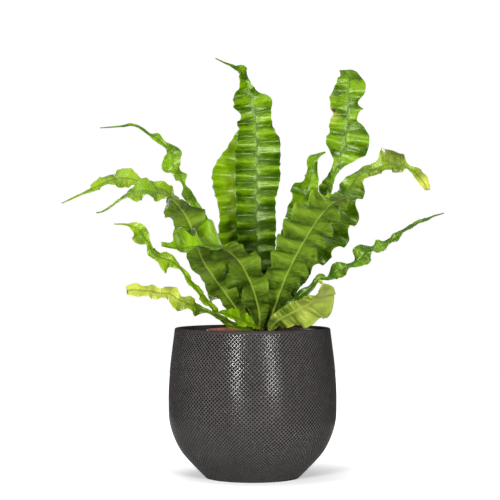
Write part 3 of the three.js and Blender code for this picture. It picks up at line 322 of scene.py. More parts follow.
        (30, 46, 184, 9, 9, -0.2, -0.8, 0.6), (46, 86, 224, 19, 19, -0.2, -0.7, 0.7),
        (60, 120, 246, 21, 21, -0.1, -0.4, 0.9), (72, 150, 252, 16, 16, 0, 0, 1),
        (81, 174, 247, 8, 8, 0.1, 0.3, 0.9), (86, 192, 237, 0.5, 0.5, 0.1, 0.4, 0.9),
    ]),
    "rear_low_left": dict(foot=(-3, 12), wave=(24, 24), swing=(30, 30), phase=(1, 3), cup=(6, 6), rows=[
        (-9, 38, 166, 6, 6, 0.3, -0.6, 0.8), (-20, 70, 184, 12, 12, 0.3, -0.5, 0.9),
        (-32, 102, 194, 13, 13, 0.2, -0.3, 1), (-42, 130, 193, 10, 10, 0.1, 0.1, 1),
        (-48, 150, 184, 1, 1, 0, 0.3, 1),
    ]),
    "rear_low_right": dict(foot=(25, 12), wave=(24, 24), swing=(30, 30), phase=(1, 3), cup=(6, 6), rows=[
        (26, 40, 166, 6, 6, -0.2, -0.6, 0.8), (29, 76, 184, 12, 12, -0.2, -0.5, 0.9),
        (31, 108, 194, 13, 13, -0.1, -0.3, 1), (32, 136, 193, 10, 10, 0, 0.1, 1),
        (32, 156, 184, 1, 1, 0, 0.3, 1),
    ]),
}

# How yellow a frond is near its foot and at its tip, and how light its green is
TONES = {
    "tall_back": (0, 0, 0.2),
    # behind_left's high lightness is partly painted light, for the light that shines through it from behind
    "behind_left": (0.15, 0.15, 1.1),
    "slim_top_left": (0, 0.1, 0.35),
    "arch_left_back": (0.1, 0.35, 0.7),
    "arch_left_front": (0, 0.25, 0.55),
    "twisted_left": (0.15, 0.4, 0.7),
    "low_wavy_left": (0.3, 0.62, 0.2),
    "short_front_left": (0.05, 0.1, 0.95),
    "arch_front_left": (0, 0.1, 0.45),
    "broad_front_right": (0, 0.1, 0.6),
    "long_right": (0.05, 0.35, 0.15),
    "upright_right": (0, 0.05, 0.3),
    "twisted_right": (0, 0.05, 0.3),
    "low_wavy_right": (0, 0.1, 0),
    "short_front_right": (0.3, 0.5, 0.7),
}
PLAIN_TONE = (0.05, 0.2, 0.4)

# Shade, yellow and brown along a frond: how strong they are, and at what shares of its length
# they start, end and fade
FOOT_SHADE = 0.42
SHADE_END = 0.75
YELLOW_START = 0.35
YELLOW_FADE = 0.6
STALK_BROWN = 0.95
BROWN_END = 0.05
BROWN_FADE = 0.13
TIP_BROWN = 0.3
TIP_SHARE = 0.015

# Marks on the fronds: x, y, z, radius, and how yellow and how brown they are
SPOTS = {
    "upright_right": [
        (91, 68, 391, 8, 0.5, 0), (90, 68, 398, 4, 0.2, 0.9), (88, 68, 409, 7, 0.5, 0),
    ],
    "arch_front_left": [(-34, -104, 246, 9, 0.8, 0.1), (-26, -90, 238, 5, 0.2, 0.5)],
    "long_right": [(186, 11, 313, 8, 0.6, 0.2)],
    "low_wavy_left": [(-131, -56, 199, 3, 0, 0.5)],
    "broad_front_right": [(40, -38, 232, 6, 0.1, 0.3), (36, -33, 222, 5, 0.1, 0.3)],
}

# The two faces of a blade: colours from 0 to 255 as the eye sees them, which of them the veins
# have, and how rough, veined, bumpy and glossy the face is
LEAF_FACES = {
    "leaf_upper": dict(
        dark=(22, 48, 0), bright=(90, 122, 1), yellow=(162, 164, 66), rib=(40, 70, 2),
        vein="bright", rough=0.34, vein_height=0.35, bump=0.00022, gloss=0.3, coat=0.12,
    ),
    "leaf_under": dict(
        dark=(28, 46, 3), bright=(86, 110, 24), yellow=(158, 162, 76), rib=(128, 146, 56),
        vein="dark", rough=0.48, vein_height=0.6, bump=0.0003, gloss=0.2, coat=0.0,
    ),
}
LEAF_BROWN = (46, 30, 16)

# How much each thing counts in the green
PATCH_SHARE = 0.55
MOTTLE_SHARE = 0.35
# the ripples' crests are painted lighter and their troughs darker: painted light and shade
PAINTED_RIPPLE_SHADE_SHARE = 0.28
LIGHTNESS_SHARE = 0.5
# the raised puckers are painted lighter and the sunk ones darker: painted light and shade
PAINTED_PUCKER_SHADE_SHARE = 0.6
VEIN_SHARE = 0.32
RIB_SHARE = 0.5

# The veins' spacing and slant, how fast the puckers change across and along a blade and through
# space, and how high they are
VEIN_SPACING = 1.5
VEIN_SWEEP = 0.22
PUCKER_ACROSS = 0.12
PUCKER_ALONG = 0.5
PUCKER_DRIFT = 20.0
PUCKER_HEIGHT = 5.0

# Lamps: place, target, width and height in metres, and watts
ROOM_LAMPS = {
    "top_softbox": ((-0.3, -0.25, 1.5), (0, 0, 0.25), (0.7, 0.7), 9),
    "left_strip": ((-0.72, -1.75, 0.4), (0, 0, 0.13), (0.26, 0.6), 56),
    "right_strip": ((0.78, -1.72, 0.4), (0, 0, 0.13), (0.32, 0.6), 48),
}
PLANTER_LAMPS = {
    "planter_left": ((-0.72, -1.75, 0.42), (0, 0, 0.13), (0.26, 0.7), 118),
    "planter_right": ((0.8, -1.72, 0.42), (0, 0, 0.13), (0.32, 0.7), 100),
}
BACK_LAMPS = {
    "back_left": ((-1.15, 1.3, 0.8), (0, 0, 0.22), (0.7, 0.9), 20),
    "back_right": ((1.15, 1.3, 0.8), (0, 0, 0.22), (0.7, 0.9), 17),
}


def ease(x):
    t = np.clip(x, 0, 1)
    return t * t * (3 - 2 * t)


def lerp(a, b, t):
    return a + (b - a) * t


def spline_through(rows, steps):
    """A centripetal spline through rows, whose first three columns are the place."""
    rows = np.asarray(rows, float)
    dense = []
    for i in range(len(rows) - 1):
        p1, p2 = rows[i], rows[i + 1]
        p0 = rows[i - 1] if i else 2 * p1 - p2
        p3 = rows[i + 2] if i + 2 < len(rows) else 2 * p2 - p1
        d0, d1, d2 = (math.sqrt(np.linalg.norm((b - a)[:3])) for a, b in ((p0, p1), (p1, p2), (p2, p3)))
        slope = (p2 - p1) / d1
        m1 = ((p1 - p0) / d0 - (p2 - p0) / (d0 + d1) + slope) * d1
        m2 = (slope - (p3 - p1) / (d1 + d2) + (p3 - p2) / d2) * d1
        t = np.linspace(0, 1, steps, endpoint=False)[:, None]
        c2 = 3 * (p2 - p1) - 2 * m1 - m2
        c3 = 2 * (p1 - p2) + m1 + m2
        dense.append(p1 + t * (m1 + t * (c2 + t * c3)))
    dense.append(rows[-1:])
    return np.concatenate(dense)


def make_piece(name, points, faces, materials, face_material=None):
    """A smooth mesh object from points in millimetres."""
    mesh = bpy.data.meshes.new(name)
    mesh.from_pydata((np.asarray(points) * MM).tolist(), [], [list(map(int, f)) for f in faces])
    for material in materials:
        mesh.materials.append(material)
    if face_material is not None:
        mesh.polygons.foreach_set("material_index", np.asarray(face_material, np.int32))
    mesh.polygons.foreach_set("use_smooth", np.ones(len(mesh.polygons), bool))
    mesh.update()
    piece = bpy.data.objects.new(name, mesh)
    bpy.context.scene.collection.objects.link(piece)
    return piece


def keep_vectors(piece, name, domain, vectors):
    """Stores a vector for each point or corner of the mesh, which the materials read."""
    layer = piece.data.attributes.new(name, "FLOAT_VECTOR", domain)
    layer.data.foreach_set("vector", np.asarray(vectors, np.float32).ravel())


def stand_for(piece, slot, *nodes):
    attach(piece, "root")
    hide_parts(*nodes)
    return piece


def grid_faces(rows, columns, start=0, closed=False, flip=False):
    """Quads of a grid of points, row by row. A closed grid joins its last column to its first."""
    a, b = np.meshgrid(np.arange(rows - 1), np.arange(columns if closed else columns - 1), indexing="ij")
    a, b = a.ravel(), b.ravel()
    c = (b + 1) % columns
    quads = np.stack([a * columns + b, a * columns + c, (a + 1) * columns + c, (a + 1) * columns + b], 1)
    if flip:
        quads = quads[:, ::-1]
    return quads + start


def capped(rings, first, last):
    """Points and faces of a grid of rings that is closed by a point at each end."""
    rows, columns = rings.shape[:2]
    points = np.concatenate([rings.reshape(-1, 3), [first, last]])
    faces = grid_faces(rows, columns, closed=True).tolist()
    end = rows * columns
    for here in range(columns):
        after = (here + 1) % columns
        faces.append([end, after, here])
        faces.append([end + 1, end - columns + here, end - columns + after])
    return points, faces


class Nodes:
    """Builds a material's node tree with few words."""

    def __init__(self, name):
        self.material = bpy.data.materials.new(name)
        self.material.use_nodes = True
        self.tree = self.material.node_tree
        self.shader = next(n for n in self.tree.nodes if n.type == "BSDF_PRINCIPLED")

    def add(self, kind, **values):
        """A node with its inputs set by name: a number, a colour or another node's output."""
        node = self.tree.nodes.new("ShaderNode" + kind)
        for key, value in values.items():
            if hasattr(node, key):
                setattr(node, key, value)
            else:
                self.put(node.inputs[key.replace("_", " ").title()], value)
        return node

    def put(self, socket, value):
        if isinstance(value, bpy.types.NodeSocket):
            self.tree.links.new(value, socket)
        else:
            socket.default_value = value

    def object_place(self):
        return self.add("TexCoord").outputs["Object"]

    def kept(self, name):
        """The outputs of a node that reads what the mesh keeps under this name."""
        return self.add("Attribute", attribute_name=name).outputs

    def axes(self, vector):
        return self.add("SeparateXYZ", Vector=vector).outputs

    def math(self, operation, *values):
        node = self.add("Math", operation=operation)
        for socket, value in zip(node.inputs, values):
            self.put(socket, value)
        return node.outputs[0]

    def times(self, a, b):
        return self.math("MULTIPLY", a, b)

    def plus(self, a, b):
        return self.math("ADD", a, b)

    def minus(self, a, b):
        return self.math("SUBTRACT", a, b)

    def mix(self, share, a, b):
        node = self.add("Mix", data_type="RGBA")
        for name, value in (("Factor_Float", share), ("A_Color", a), ("B_Color", b)):
            self.put(next(s for s in node.inputs if s.identifier == name), value)
        return next(s for s in node.outputs if s.identifier == "Result_Color")

    def ramp(self, value, low, high, to_low=0.0, to_high=1.0):
        """Eases from to_low, where the value is low, to to_high, where it is high."""
        node = self.add("MapRange", interpolation_type="SMOOTHSTEP")
        for socket, x in zip(node.inputs, (value, low, high, to_low, to_high)):
            self.put(socket, x)
        return node.outputs[0]

    def noise(self, vector, scale, detail=3.0, roughness=0.55):
        node = self.add("TexNoise", Vector=vector, Scale=scale, Detail=detail, Roughness=roughness)
        return node.outputs["Fac"]

    def bump(self, height, distance, strength):
        return self.add("Bump", Height=height, Distance=distance, Strength=strength).outputs[0]

    def finish(self, **values):
        """Sets the shader's inputs, each under its name in small letters."""
        for key, value in values.items():
            self.put(self.shader.inputs[key.replace("_", " ").title().replace("Ior", "IOR")], value)
        return self.material


def colour(*rgb):
    """A colour given as the eye sees it, from 0 to 255, as the linear one that shaders need."""
    linear = [x / 12.92 if x <= 0.04045 else ((x + 0.055) / 1.055) ** 2.4 for x in (c / 255 for c in rgb)]
    return (*linear, 1.0)


def leaf_material(name, look):
    """Green of a blade's upper or lower face, with veins, a midrib, yellowing and a brown stalk, and with
    painted light and shade on its ripples and puckers and painted shade near its foot.
    """
    n = Nodes(name)
    dark, bright, yellow, rib_green = (colour(*look[key]) for key in ("dark", "bright", "yellow", "rib"))
    place = n.object_place()
    shade_and_marks = n.kept("shade_and_marks")
    ripple, yellowing, browning = n.add("SeparateColor", Color=shade_and_marks["Color"]).outputs
    across, along, half = n.axes(n.kept("blade_place")["Vector"])
    from_rib = n.math("ABSOLUTE", across)

    patches = n.noise(place, 38.0, 4.0)
    mottle = n.noise(place, 190.0, 3.0)
    light = n.plus(n.times(patches, PATCH_SHARE), n.times(mottle, MOTTLE_SHARE))
    # painted light and shade: the crests of the ripples get a lighter green and the troughs a darker one
    light = n.plus(light, n.times(ripple, PAINTED_RIPPLE_SHADE_SHARE))
    light = n.plus(light, n.times(shade_and_marks["Alpha"], LIGHTNESS_SHARE))

    # veins run out from the rib, a little forwards
    vein_place = n.minus(along, n.times(from_rib, VEIN_SWEEP))
    wander = n.times(n.noise(place, 110.0, 2.0), 1.6)
    vein_wave = n.math("SINE", n.times(n.plus(vein_place, wander), TURN / VEIN_SPACING))
    vein = n.ramp(vein_wave, 0.35, 1.0)

    # the blade puckers in strips that lie as the veins do, and the raised strips are painted lighter and the
    # sunk ones darker: painted light and shade
    pucker_place = n.add(
        "CombineXYZ",
        X=n.times(across, PUCKER_ACROSS),
        Y=n.times(vein_place, PUCKER_ALONG),
        Z=n.times(n.axes(place)["X"], PUCKER_DRIFT),
    ).outputs["Vector"]
    pucker = n.noise(pucker_place, 1.0, 3.0)
    light = n.plus(light, n.times(n.minus(pucker, 0.5), PAINTED_PUCKER_SHADE_SHARE))
    green = n.mix(n.ramp(light, 0.42, 1.05), dark, bright)
    green = n.mix(n.times(vein, VEIN_SHARE), green, colour(*look[look["vein"]]))

    # yellowing starts along the margins and in patches
    to_margin = n.math("DIVIDE", from_rib, half)
    yellow_patch = n.plus(yellowing, n.times(n.minus(patches, 0.5), 0.9))
    yellow_patch = n.plus(yellow_patch, n.ramp(to_margin, 0.8, 1.05, 0.0, 0.12))
    green = n.mix(n.ramp(yellow_patch, 0.12, 0.95), green, yellow)

    rib = n.ramp(from_rib, 0.5, 1.5, 1.0, 0.0)
    green = n.mix(n.times(rib, RIB_SHARE), green, rib_green)

    brown = n.plus(browning, n.times(n.minus(mottle, 0.5), 0.5))
    green = n.mix(n.ramp(brown, 0.25, 0.8), green, colour(*LEAF_BROWN))

    fine = n.noise(place, 900.0, 2.0)
    height = n.plus(n.times(vein, look["vein_height"]), n.times(fine, 0.5))
    height = n.plus(height, n.times(pucker, PUCKER_HEIGHT))
    return n.finish(
        base_color=green,
        roughness=n.ramp(mottle, 0.2, 0.8, look["rough"] - 0.06, look["rough"] + 0.1),
        normal=n.bump(height, look["bump"], 0.55),
        specular_ior_level=look["gloss"],
        specular_tint=(0.72, 0.95, 0.3, 1.0),
        coat_weight=look["coat"],
        coat_roughness=0.25,
        subsurface_weight=0.14,
        subsurface_radius=(0.55, 1.0, 0.18),
        subsurface_scale=0.0016,
    )


def planter_material():
    """Satin black with a net of ridges that cross, and a hollow in each of its diamonds that is painted near
    black as shade.
    """
    n = Nodes("planter_satin_black")
    place = n.object_place()
    broad = n.noise(place, 22.0, 3.0)
    uneven = n.noise(place, 240.0, 3.0)
    grain = n.noise(place, 1400.0, 2.0)
    turn, rise, zone = n.axes(n.kept("lattice")["Vector"])
    lines = []
    for operation in ("ADD", "SUBTRACT"):
        share = n.math("FRACT", n.math(operation, turn, rise))
        lines.append(n.times(n.math("ABSOLUTE", n.minus(share, 0.5)), 2.0))
    ridge = n.ramp(n.math("MAXIMUM", *lines), 0.6, 0.86)
    plain = n.times(n.minus(1.0, zone), PLAIN_RIDGE)
    ridge = n.plus(n.times(ridge, zone), plain)
    # the ridges' share, a little uneven at random, against the hollows, which are painted dark as shade
    uneven_ridge_vs_hollow_shade = n.times(ridge, n.ramp(uneven, 0.25, 0.75, 0.55, 1.0))
    top = n.mix(broad, colour(35, 33, 32), colour(50, 47, 46))
    height = n.plus(ridge, n.times(grain, 0.12))
    return n.finish(
        # painted shade: the hollows get a near-black colour and the ridges the planter's own black
        base_color=n.mix(uneven_ridge_vs_hollow_shade, colour(1, 1, 1), top),
        roughness=n.ramp(ridge, 0.25, 0.9, 0.95, 0.13),
        normal=n.bump(height, 0.0006, 0.8),
        specular_ior_level=0.07,
    )


def nursery_material():
    """Dull red plastic with dust."""
    n = Nodes("nursery_red_plastic")
    place = n.object_place()
    broad = n.noise(place, 40.0, 4.0)
    grain = n.noise(place, 1100.0, 2.0)
    dust = n.ramp(n.noise(place, 160.0, 5.0), 0.52, 0.75)
    body = n.mix(broad, colour(142, 74, 58), colour(178, 98, 78))
    body = n.mix(n.times(dust, 0.4), body, colour(70, 48, 36))
    # peat is smeared over the rim on the side of +X
    side = n.axes(place)["X"]
    peat = n.ramp(n.plus(side, n.times(broad, 0.03)), 0.01, 0.024)
    body = n.mix(n.times(peat, 0.9), body, colour(34, 25, 20))
    return n.finish(
        base_color=body,
        roughness=n.ramp(broad, 0.2, 0.8, 0.42, 0.62),
        normal=n.bump(grain, 0.00012, 0.5),
    )


def soil_material():
    n = Nodes("soil_dark_peat")
    place = n.object_place()
    crumbs = n.noise(place, 320.0, 6.0, 0.7)
    damp = n.noise(place, 60.0, 3.0)
    body = n.mix(n.ramp(crumbs, 0.3, 0.75), colour(26, 19, 14), colour(86, 64, 46))
    body = n.mix(n.times(damp, 0.5), body, colour(38, 28, 20))
    return n.finish(
        base_color=body,
        roughness=n.ramp(damp, 0.3, 0.7, 0.75, 0.95),
        normal=n.bump(crumbs, 0.0012, 0.8),
    )


def crown_material():
    n = Nodes("crown_brown_scales")
    place = n.object_place()
    fibres = n.noise(place, 420.0, 5.0, 0.65)
    body = n.mix(n.ramp(fibres, 0.3, 0.7), colour(30, 19, 12), colour(92, 60, 34))
    return n.finish(
        base_color=body,
        roughness=n.ramp(fibres, 0.2, 0.8, 0.6, 0.85),
        normal=n.bump(fibres, 0.0006, 0.7),
    )


def turned(radius, height, columns):
    """Points about the Z axis, row by row, from radii and heights that have a column or all."""
    angles = np.arange(columns) * TURN / columns
    x = radius * np.cos(angles)
    return np.stack([x, radius * np.sin(angles), np.broadcast_to(height, x.shape)], -1)


def lathe_points(profile, columns):
    profile = np.asarray(profile, float)
    return turned(profile[:, 0:1], profile[:, 1:2], columns)


def along_profile(profile):
    steps = np.linalg.norm(np.diff(profile, axis=0), axis=1)
    return np.concatenate([[0], np.cumsum(steps)])


def planter_wall():
    """The outer wall from foot to lip, evenly spaced, so that rows of diamonds fit it."""
    control = [(r, 0, z) for r, z in PLANTER_OUTLINE]
    dense = spline_through(control, OUTLINE_STEPS)[:, [0, 2]]
    length = along_profile(dense)
    count = int(length[-1] / (DIAMOND_HEIGHT / DIAMOND_STEPS))
    want = np.linspace(0, length[-1], count + 1)
    return np.stack([np.interp(want, length, dense[:, k]) for k in (0, 1)], 1), want


def make_planter():
    wall, length = planter_wall()
    columns = DIAMONDS_ROUND * DIAMOND_STEPS
    tangent = np.gradient(wall, axis=0)
    tangent /= np.linalg.norm(tangent, axis=1)[:, None]
    outward = np.stack([tangent[:, 1], -tangent[:, 0]], 1)

    row = np.arange(len(wall))[:, None] / DIAMOND_STEPS
    column = np.arange(columns)[None, :] / DIAMOND_STEPS
    one = np.abs((column + row) % 1 - 0.5) * 2
    other = np.abs((column - row) % 1 - 0.5) * 2
    ridge = ease((np.maximum(one, other) - RIDGE_EDGE) / (1 - RIDGE_EDGE))
    from_lip = length[-1] - length
    zone = ease((length - PLAIN_FOOT) / FOOT_FADE) * ease((from_lip - PLAIN_BAND) / BAND_FADE)
    depth = DIAMOND_DEPTH * (1 - ridge) * zone[:, None]
    radius, height = (wall[:, k:k + 1] - depth * outward[:, k:k + 1] for k in (0, 1))
    outer = turned(radius, height, columns)

    lip = [(
        PLANTER_MOUTH_RADIUS - PLANTER_WALL / 2 + math.cos(turn) * PLANTER_WALL / 2,
        PLANTER_HEIGHT - PLANTER_LIP_ROUND + PLANTER_LIP_ROUND * math.sin(turn),
    ) for turn in np.linspace(0.25, 1.75, LIP_POINTS) * math.pi / 2]
    inside = [(r - PLANTER_WALL, z) for r, z in wall[::-8] if z > PLANTER_FLOOR + PLANTER_WALL]
    floor = [(52, PLANTER_FLOOR + 0.6), (48, PLANTER_FLOOR), (24, PLANTER_FLOOR)]
    rings = np.concatenate([
        lathe_points(PLANTER_UNDER, columns), outer, lathe_points(lip + inside + floor, columns),
    ])
    points, faces = capped(rings, (0, 0, PLANTER_HOLLOW), (0, 0, PLANTER_FLOOR))
    piece = make_piece("planter_shell", points, faces, [planter_material()])

    # where each face's corner lies in the net of diamonds, and whether the net is there
    rows, below = len(rings), len(PLANTER_UNDER)
    reach = np.zeros(rows)
    reach[below:below + len(wall)] = zone
    a, b = np.meshgrid(np.arange(rows - 1), np.arange(columns), indexing="ij")
    corners = np.stack([
        np.stack([j / DIAMOND_STEPS, (i - below) / DIAMOND_STEPS, reach[i]], -1)
        for i, j in ((a, b), (a, b + 1), (a + 1, b + 1), (a + 1, b))
    ], 2)
    lattice = np.zeros((len(piece.data.loops), 3), np.float32)
    lattice[:corners.size // 3] = corners.reshape(-1, 3)
    keep_vectors(piece, "lattice", "CORNER", lattice)
    return stand_for(piece, "planter", "planter")


def nursery_radius(z):
    share = (z - NURSERY_BASE) / (NURSERY_TOP - NURSERY_BASE)
    return lerp(NURSERY_FOOT_RADIUS, NURSERY_RIM_RADIUS - NURSERY_RIM_STEP, share)


def make_nursery_pot():
    rim_foot = NURSERY_TOP - NURSERY_RIM_HEIGHT
    floor = NURSERY_BASE + NURSERY_FLOOR
    wall_heights = np.linspace(NURSERY_BASE + 1.5, rim_foot, 10)
    profile = [(NURSERY_FOOT_RADIUS / 2, NURSERY_BASE), (NURSERY_FOOT_RADIUS - 1.5, NURSERY_BASE)]
    profile += [(nursery_radius(z), z) for z in wall_heights]
    profile += [
        (NURSERY_RIM_RADIUS - 0.4, rim_foot + 0.3), (NURSERY_RIM_RADIUS, rim_foot + 1),
        (NURSERY_RIM_RADIUS, NURSERY_TOP - 1.2), (NURSERY_RIM_RADIUS - 0.4, NURSERY_TOP - 0.3),
        (NURSERY_RIM_RADIUS - 1.2, NURSERY_TOP), (NURSERY_RIM_RADIUS - 2.8, NURSERY_TOP - 0.2),
        (nursery_radius(NURSERY_TOP) - NURSERY_WALL, NURSERY_TOP - 1),
    ]
    profile += [(nursery_radius(z) - NURSERY_WALL, z) for z in np.linspace(NURSERY_TOP - 6, floor, 8)]
    profile += [(NURSERY_FOOT_RADIUS / 2, floor)]
    points, faces = capped(lathe_points(profile, NURSERY_COLUMNS), (0, 0, NURSERY_BASE), (0, 0, floor))
    points[:, 0] += NURSERY_CENTRE_X
    piece = make_piece("nursery_pot_shell", points, faces, [nursery_material()])
    return stand_for(piece, "nursery_pot", "nursery_pot")


def soil_height(x, y):
    """The mean soil surface, as in the solid below it."""
    near = np.minimum(1, np.hypot(x, y) / 30)
    return SOIL_TOP + 1.3 * near * (np.sin(0.31 * x + 1.3) * np.cos(0.27 * y) + 0.6 * np.sin(0.53 * (x + y)))


def make_soil(rng):
    edge = SOIL_TOP - SOIL_EDGE
    top_radius = nursery_radius(edge) - NURSERY_WALL - SOIL_GAP
    low = NURSERY_BASE + NURSERY_FLOOR + SOIL_GAP
    side = [(20, low), (nursery_radius(low) - NURSERY_WALL - 0.5, low), (top_radius, edge)]
    rings = np.linspace(top_radius - 0.8, 1, SOIL_RINGS)
    top = lathe_points([(r, SOIL_TOP) for r in rings], SOIL_COLUMNS)
    x, y = top[..., 0], top[..., 1]
    rough = np.zeros_like(x)
    for scale, size in SOIL_ROUGHNESS:
        for _ in range(SOIL_WAVES):
            way, start = rng.uniform(0, TURN, 2)
            rough += size / 2.2 * np.sin(scale * (x * math.cos(way) + y * math.sin(way)) + start)
    top[..., 2] = soil_height(x, y) + rough
    rings = np.concatenate([lathe_points(side, SOIL_COLUMNS), top])
    points, all_faces = capped(rings, (0, 0, low), (0, 0, soil_height(0, 0)))
    points[:, 0] += NURSERY_CENTRE_X
    all_points = [points]
    count = len(points)
    for _ in range(CRUMBS):
        radius = math.sqrt(rng.uniform(0.14, 1)) * (top_radius - 3)
        way = rng.uniform(0, TURN)
        x, y = radius * math.cos(way), radius * math.sin(way)
        size = rng.uniform(*CRUMB_SIZES)
        crumb, crumb_faces = crumb_shape(rng, size)
        crumb += (x + NURSERY_CENTRE_X, y, soil_height(x, y) + size * 0.35)
        all_points.append(crumb)
        all_faces += [[i + count for i in f] for f in crumb_faces]
        count += len(crumb)
    piece = make_piece("soil_surface", np.concatenate(all_points), all_faces, [soil_material()])
    return stand_for(piece, "soil", "soil")


def crumb_shape(rng, size):
    """A small angular lump: a stretched, uneven ball of three rings and two poles."""
    points = [(0, 0, -1)]
    for height, width in ((-0.5, 0.85), (0.1, 1.0), (0.65, 0.7)):
        for k in range(6):
            turn = TURN * (k + 0.5 * height) / 6
            points.append((width * math.cos(turn), width * math.sin(turn), height))
    points.append((0, 0, 1))
    points = np.array(points) * rng.uniform(0.7, 1.15, (len(points), 1))
    points *= size * rng.uniform(0.6, 1.2, 3)
    way = rng.uniform(0, TURN)
    spin = np.array([[math.cos(way), -math.sin(way), 0], [math.sin(way), math.cos(way), 0], [0, 0, 1]])
    faces = [(0, 1 + (k + 1) % 6, 1 + k) for k in range(6)]
    for ring in (0, 1):
        a, b = 1 + 6 * ring, 7 + 6 * ring
        faces += [(a + k, a + (k + 1) % 6, b + (k + 1) % 6, b + k) for k in range(6)]
    faces += [(13 + k, 13 + (k + 1) % 6, 19) for k in range(6)]
    return points @ spin.T, faces


def make_crown(rng):
    """A mound covered with narrow brown scales that point up and outwards."""
    profile = [
        (10, CROWN_FOOT), (20, CROWN_FOOT), (CROWN_RADIUS, CROWN_FOOT + 3),
        (CROWN_RADIUS, CROWN_SHOULDER), *CROWN_MOUND[:-1],
    ]
    peak = (0, 0, CROWN_MOUND[-1][1])
    body, faces = capped(lathe_points(profile, CROWN_COLUMNS), (0, 0, CROWN_FOOT), peak)
    mound_radii, mound_heights = zip(*reversed(CROWN_MOUND))
    points, count = [body], len(body)
    for _ in range(SCALES):
        radius = CROWN_RADIUS * math.sqrt(rng.uniform(0.02, 1)) * 0.97
        way = rng.uniform(0, TURN)
        top = np.interp(radius, mound_radii, mound_heights)
        foot = np.array([radius * math.cos(way), radius * math.sin(way), top - 0.6])
        lean = rng.uniform(0.1, 0.9)
        out = np.array([math.cos(way), math.sin(way), 0.0])
        up = out * lean + np.array([0, 0, 1.0]) * rng.uniform(0.5, 1.1)
        wide = np.cross(up, out + rng.normal(0, 0.5, 3))
        wide /= np.linalg.norm(wide)
        length, width = rng.uniform(*SCALE_LENGTHS), rng.uniform(*SCALE_WIDTHS)
        thick = np.cross(wide, up)
        thick *= SCALE_THICKNESS / np.linalg.norm(thick)
        shape = []
        for share, part in SCALE_TAPER:
            middle = foot + up * length * share + out * SCALE_BEND * share ** 2
            for s, t in ((-1, -1), (1, -1), (1, 1), (-1, 1)):
                shape.append(middle + wide * s * width * part + thick * t)
        points.append(np.array(shape))
        faces += grid_faces(len(SCALE_TAPER), 4, count, closed=True).tolist()
        faces += [[count + 3, count + 2, count + 1, count], [count + 12, count + 13, count + 14, count + 15]]
        count += len(shape)
    points = np.concatenate(points)
    points[:, 0] += CROWN_X
    piece = make_piece("crown_scales", points, faces, [crown_material()])
    return stand_for(piece, "crown", "crown")


def stations_of(spec):
    """Places along the midrib, evenly spaced, with the axes and the ripples there."""
    look = spec["rows"][0][5:]
    stalk = (STALK_HALF_WIDTH, STALK_HALF_WIDTH)
    heights = (STALK_FOOT, CROWN_TOP - STALK_REACH, CROWN_TOP + STALK_REACH)
    in_hole = [(*spec["foot"], z, *stalk, *look) for z in heights]
    dense = spline_through(in_hole + spec["rows"], RIB_STEPS)
    length = along_profile(dense[:, :3])
    total = length[-1]
    wave = lerp(*spec["wave"], length / total)
    middle = (wave[1:] + wave[:-1]) / 2
    ripples = np.concatenate([[0], np.cumsum(np.diff(length) / middle)])
    count = int(total / STATION_STEP)
    want = np.linspace(0, total, count)
    row = np.stack([np.interp(want, length, dense[:, k]) for k in range(8)], 1)
    tangent = np.stack([np.interp(want, length, np.gradient(dense[:, k], length)) for k in range(3)], 1)
    tangent /= np.linalg.norm(tangent, axis=1)[:, None]
    look = row[:, 5:]
    look = look - (look * tangent).sum(1)[:, None] * tangent
    look /= np.linalg.norm(look, axis=1)[:, None]
    return dict(
        length=want, total=total,
        ripples=np.interp(want, length, ripples), wave=np.interp(want, length, wave),
        place=row[:, :3], halves=np.maximum(row[:, 3:5], NARROWEST_HALF), tangent=tangent, look=look,
        side=np.cross(tangent, look),
    )


def ripple_of(spec, st, right):
    """For the left half, 0, or the right one, 1: how much it ripples, where it is in that, its swing."""
    rise = ease((st["length"] - FLAT_SHARE * st["total"]) / (FADE_IN * st["total"]))
    fall = ease((st["total"] - st["length"]) / (FADE_OUT * st["total"]))
    turn = TURN * st["ripples"] / lerp(1, RIGHT_RIPPLE, right)
    start = spec["phase"][right]
    phase = turn + start + DRIFT * np.sin(turn / DRIFT_RIPPLES + DRIFT_RIGHT * right + start)
    uneven = 1 + UNEVEN * np.sin(turn / UNEVEN_RIPPLES + UNEVEN_RIGHT * right)
    return rise * fall, phase, math.radians(spec["swing"][right]) * uneven


def frond_sheet(spec, st, across, rng):
    """The blade's middle surface as a grid of stations by columns, and how high each ripple is."""
    sheet = np.zeros((len(st["length"]), len(across), 3))
    crest = np.zeros(sheet.shape[:2])
    extra = [(rng.uniform(*PLEAT_LENGTHS), rng.uniform(0, TURN)) for _ in range(4)]
    cup = np.radians(lerp(*spec["cup"], st["length"] / st["total"]))
    for column, u in enumerate(across):
        right = 0 if u < 0 else 1
        reach = abs(u)
        fade, phase, swing = ripple_of(spec, st, right)
        ripple = fade * swing * np.sin(phase) * lerp(RIB_TILT, 1, reach)
        tilt = ripple + cup * (1 - CUP_OPENING * reach)
        lean_share = LEAN * fade * np.minimum(1, swing / FULL_LEAN_SWING)
        lean = -lean_share * st["wave"] * np.sin(2 * phase) * reach ** LEAN_POWER
        one, two = extra[2 * right:2 * right + 2]
        pleat = np.sin(phase / one[0] + one[1])
        fine_phase = phase / (one[0] * FINE_PLEAT_LENGTH) + two[1] + FINE_PLEAT_SLANT * reach
        pleat += FINE_PLEAT_HEIGHT * np.sin(fine_phase)
        half = st["halves"][:, right]
        pleat *= PLEAT_HEIGHT * fade * np.minimum(1, half / FULL_PLEAT_HALF) * lerp(PLEAT_AT_RIB, 1, reach)
        out = math.copysign(reach, u) * half
        sheet[:, column] = (
            st["place"]
            + (out * np.cos(tilt))[:, None] * st["side"]
            + (reach * half * np.sin(tilt) + pleat * min(1, reach / PLEAT_START))[:, None] * st["look"]
            + lean[:, None] * st["tangent"]
        )
        crest[:, column] = fade * np.sin(phase)
    return sheet, crest


